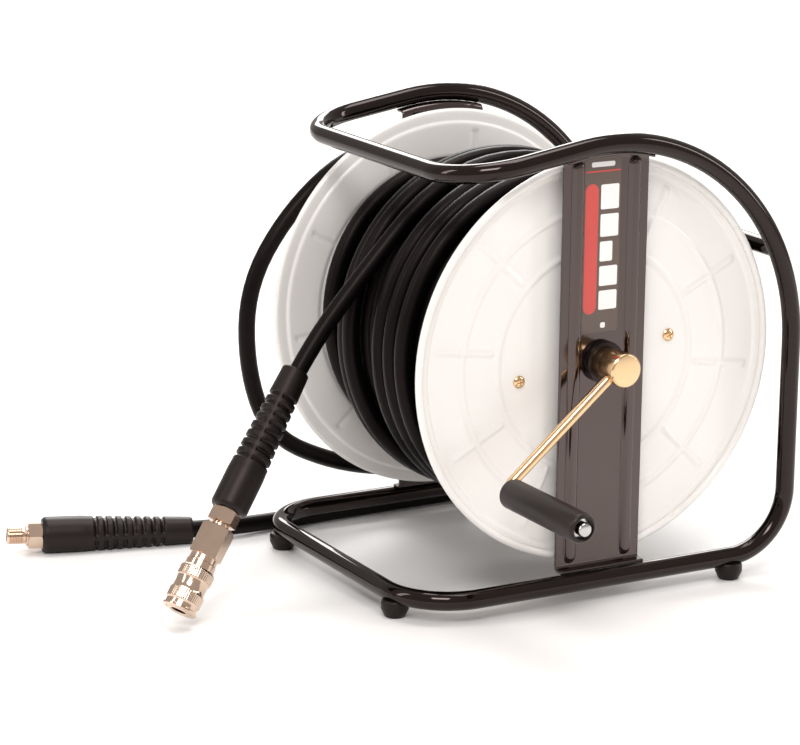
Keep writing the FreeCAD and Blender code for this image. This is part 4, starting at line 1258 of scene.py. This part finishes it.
class CarriedParts:
    """CAD pieces whose shapes stay as they are, given their finishes."""

    FINISHES = {
        "drum_shaft": BRIGHT_STEEL, "near_thrust_washer": BRIGHT_STEEL, "far_thrust_washer": BRIGHT_STEEL,
        "drum_outlet_pipe": NICKEL, "swivel_elbow": NICKEL, "swivel_ferrule": NICKEL,
        "swivel_seal_rings": MOULDED_RUBBER, "crank_set_screw": BRIGHT_STEEL, "foot_screws": CLEAR_ZINC,
        "lead_in_hose_stem": NICKEL, "working_hose_stem": NICKEL, "coupler_balls": BRIGHT_STEEL,
        "coupler_nipple_seal": MOULDED_RUBBER, "coupler_valve": NICKEL, "sleeve_spring": BRIGHT_STEEL,
        "valve_spring": BRIGHT_STEEL,
    }

    SPRINGS = {"sleeve_spring": "sleeve_slide", "valve_spring": "valve_slide"}
    travel: float = 4.0

    def build(self) -> None:
        """Dress each carried CAD node, and give each spring a mesh of its own."""
        for node, finish in self.FINISHES.items():
            data = frame["nodes"][node].data
            data.materials.clear()
            data.materials.append(finish.material())
            LOG.info("dressed %s with %s", node, finish.name)
        for node, joint in self.SPRINGS.items():
            self.compress(frame["nodes"][node])

    def compress(self, spring: bpy.types.Object) -> None:
        """Give a spring of the coupler a mesh of its own.

        Args:
            spring: the spring's object.
        """
        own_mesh(spring)


@dataclass
class Studio:
    """Floor, light and camera."""

    eye: tuple[float, float, float] = (-1147.75, -1893.86, 531.55)
    gaze: tuple[float, float, float] = (0.468553, 0.847698, -0.248729)
    roll_deg: float = 0.553
    lens: float = 135.39

    def camera(self) -> None:
        """Place the camera by its eye, its gaze and its roll."""
        data = bpy.data.cameras.new("camera")
        data.lens = self.lens
        data.sensor_width = 36.0
        data.clip_start = 0.05
        data.clip_end = 60.0
        thing = bpy.data.objects.new("camera", data)
        gaze = Vector(self.gaze).normalized()
        level = gaze.cross(Vector((0, 0, 1))).normalized()
        right = Matrix.Rotation(-math.radians(self.roll_deg), 3, gaze) @ level
        up = right.cross(gaze)
        turn = Matrix((right, up, -gaze)).transposed().to_4x4()
        thing.matrix_world = Matrix.Translation(AXLE + Vector(self.eye) * MM) @ turn
        bpy.context.scene.collection.objects.link(thing)
        bpy.context.scene.camera = thing

    def floor(self) -> None:
        """Lay the pale floor."""
        mesh = bmesh.new()
        bmesh.ops.create_grid(mesh, x_segments=1, y_segments=1, size=12.0)
        data = bpy.data.meshes.new("studio_floor")
        mesh.to_mesh(data)
        mesh.free()
        data.materials.append(FLOOR.material())
        thing = bpy.data.objects.new("studio_floor", data)
        bpy.context.scene.collection.objects.link(thing)

    def lights(self) -> None:
        """Set the soft boxes and the white surround."""
        boxes = [("key", (-1.5, -1.9, 2.3), 1.3, 0.9, 48.0), ("top", (0.3, 0.2, 2.6), 1.8, 1.2, 36.0),
                 ("right_strip", (2.2, -1.3, 1.1), 0.35, 1.9, 16.0),
                 ("left_strip", (-2.4, 0.5, 1.3), 0.4, 1.8, 14.0),
                 ("back", (1.8, 4.2, 2.6), 3.0, 2.0, 160.0)]
        for name, place, width, height, power in boxes:
            data = bpy.data.lights.new(name, "AREA")
            data.shape = "RECTANGLE"
            data.size = width
            data.size_y = height
            data.energy = power
            thing = bpy.data.objects.new(name, data)
            spot = AXLE + Vector(place)
            thing.matrix_world = Matrix.Translation(spot) @ (AXLE - spot).to_track_quat(
                "-Z", "Y").to_matrix().to_4x4()
            bpy.context.scene.collection.objects.link(thing)
        world = bpy.data.worlds.new("surround")
        world.use_nodes = True
        tree = world.node_tree
        tree.nodes.clear()
        light = add(tree, "ShaderNodeBackground", {"Color": linear("#fff5ee"), "Strength": 0.52})
        add(tree, "ShaderNodeOutputWorld", {"Surface": light.outputs[0]})
        bpy.context.scene.world = world

    def build(self) -> None:
        """Build the studio."""
        self.camera()
        self.floor()
        self.lights()
        bpy.context.scene.view_settings.view_transform = "Standard"


def main() -> None:
    """Build the studio, then each sub-assembly."""
    logging.basicConfig(level=logging.INFO, format="%(name)s: %(message)s")
    steps: list[Callable[[], None]] = [Studio().build, Hoses().build, Cage().build, Drum().build,
                                       Crank().build, CarriedParts().build]
    for step in steps:
        step()


if __name__ == "__main__":
    main()
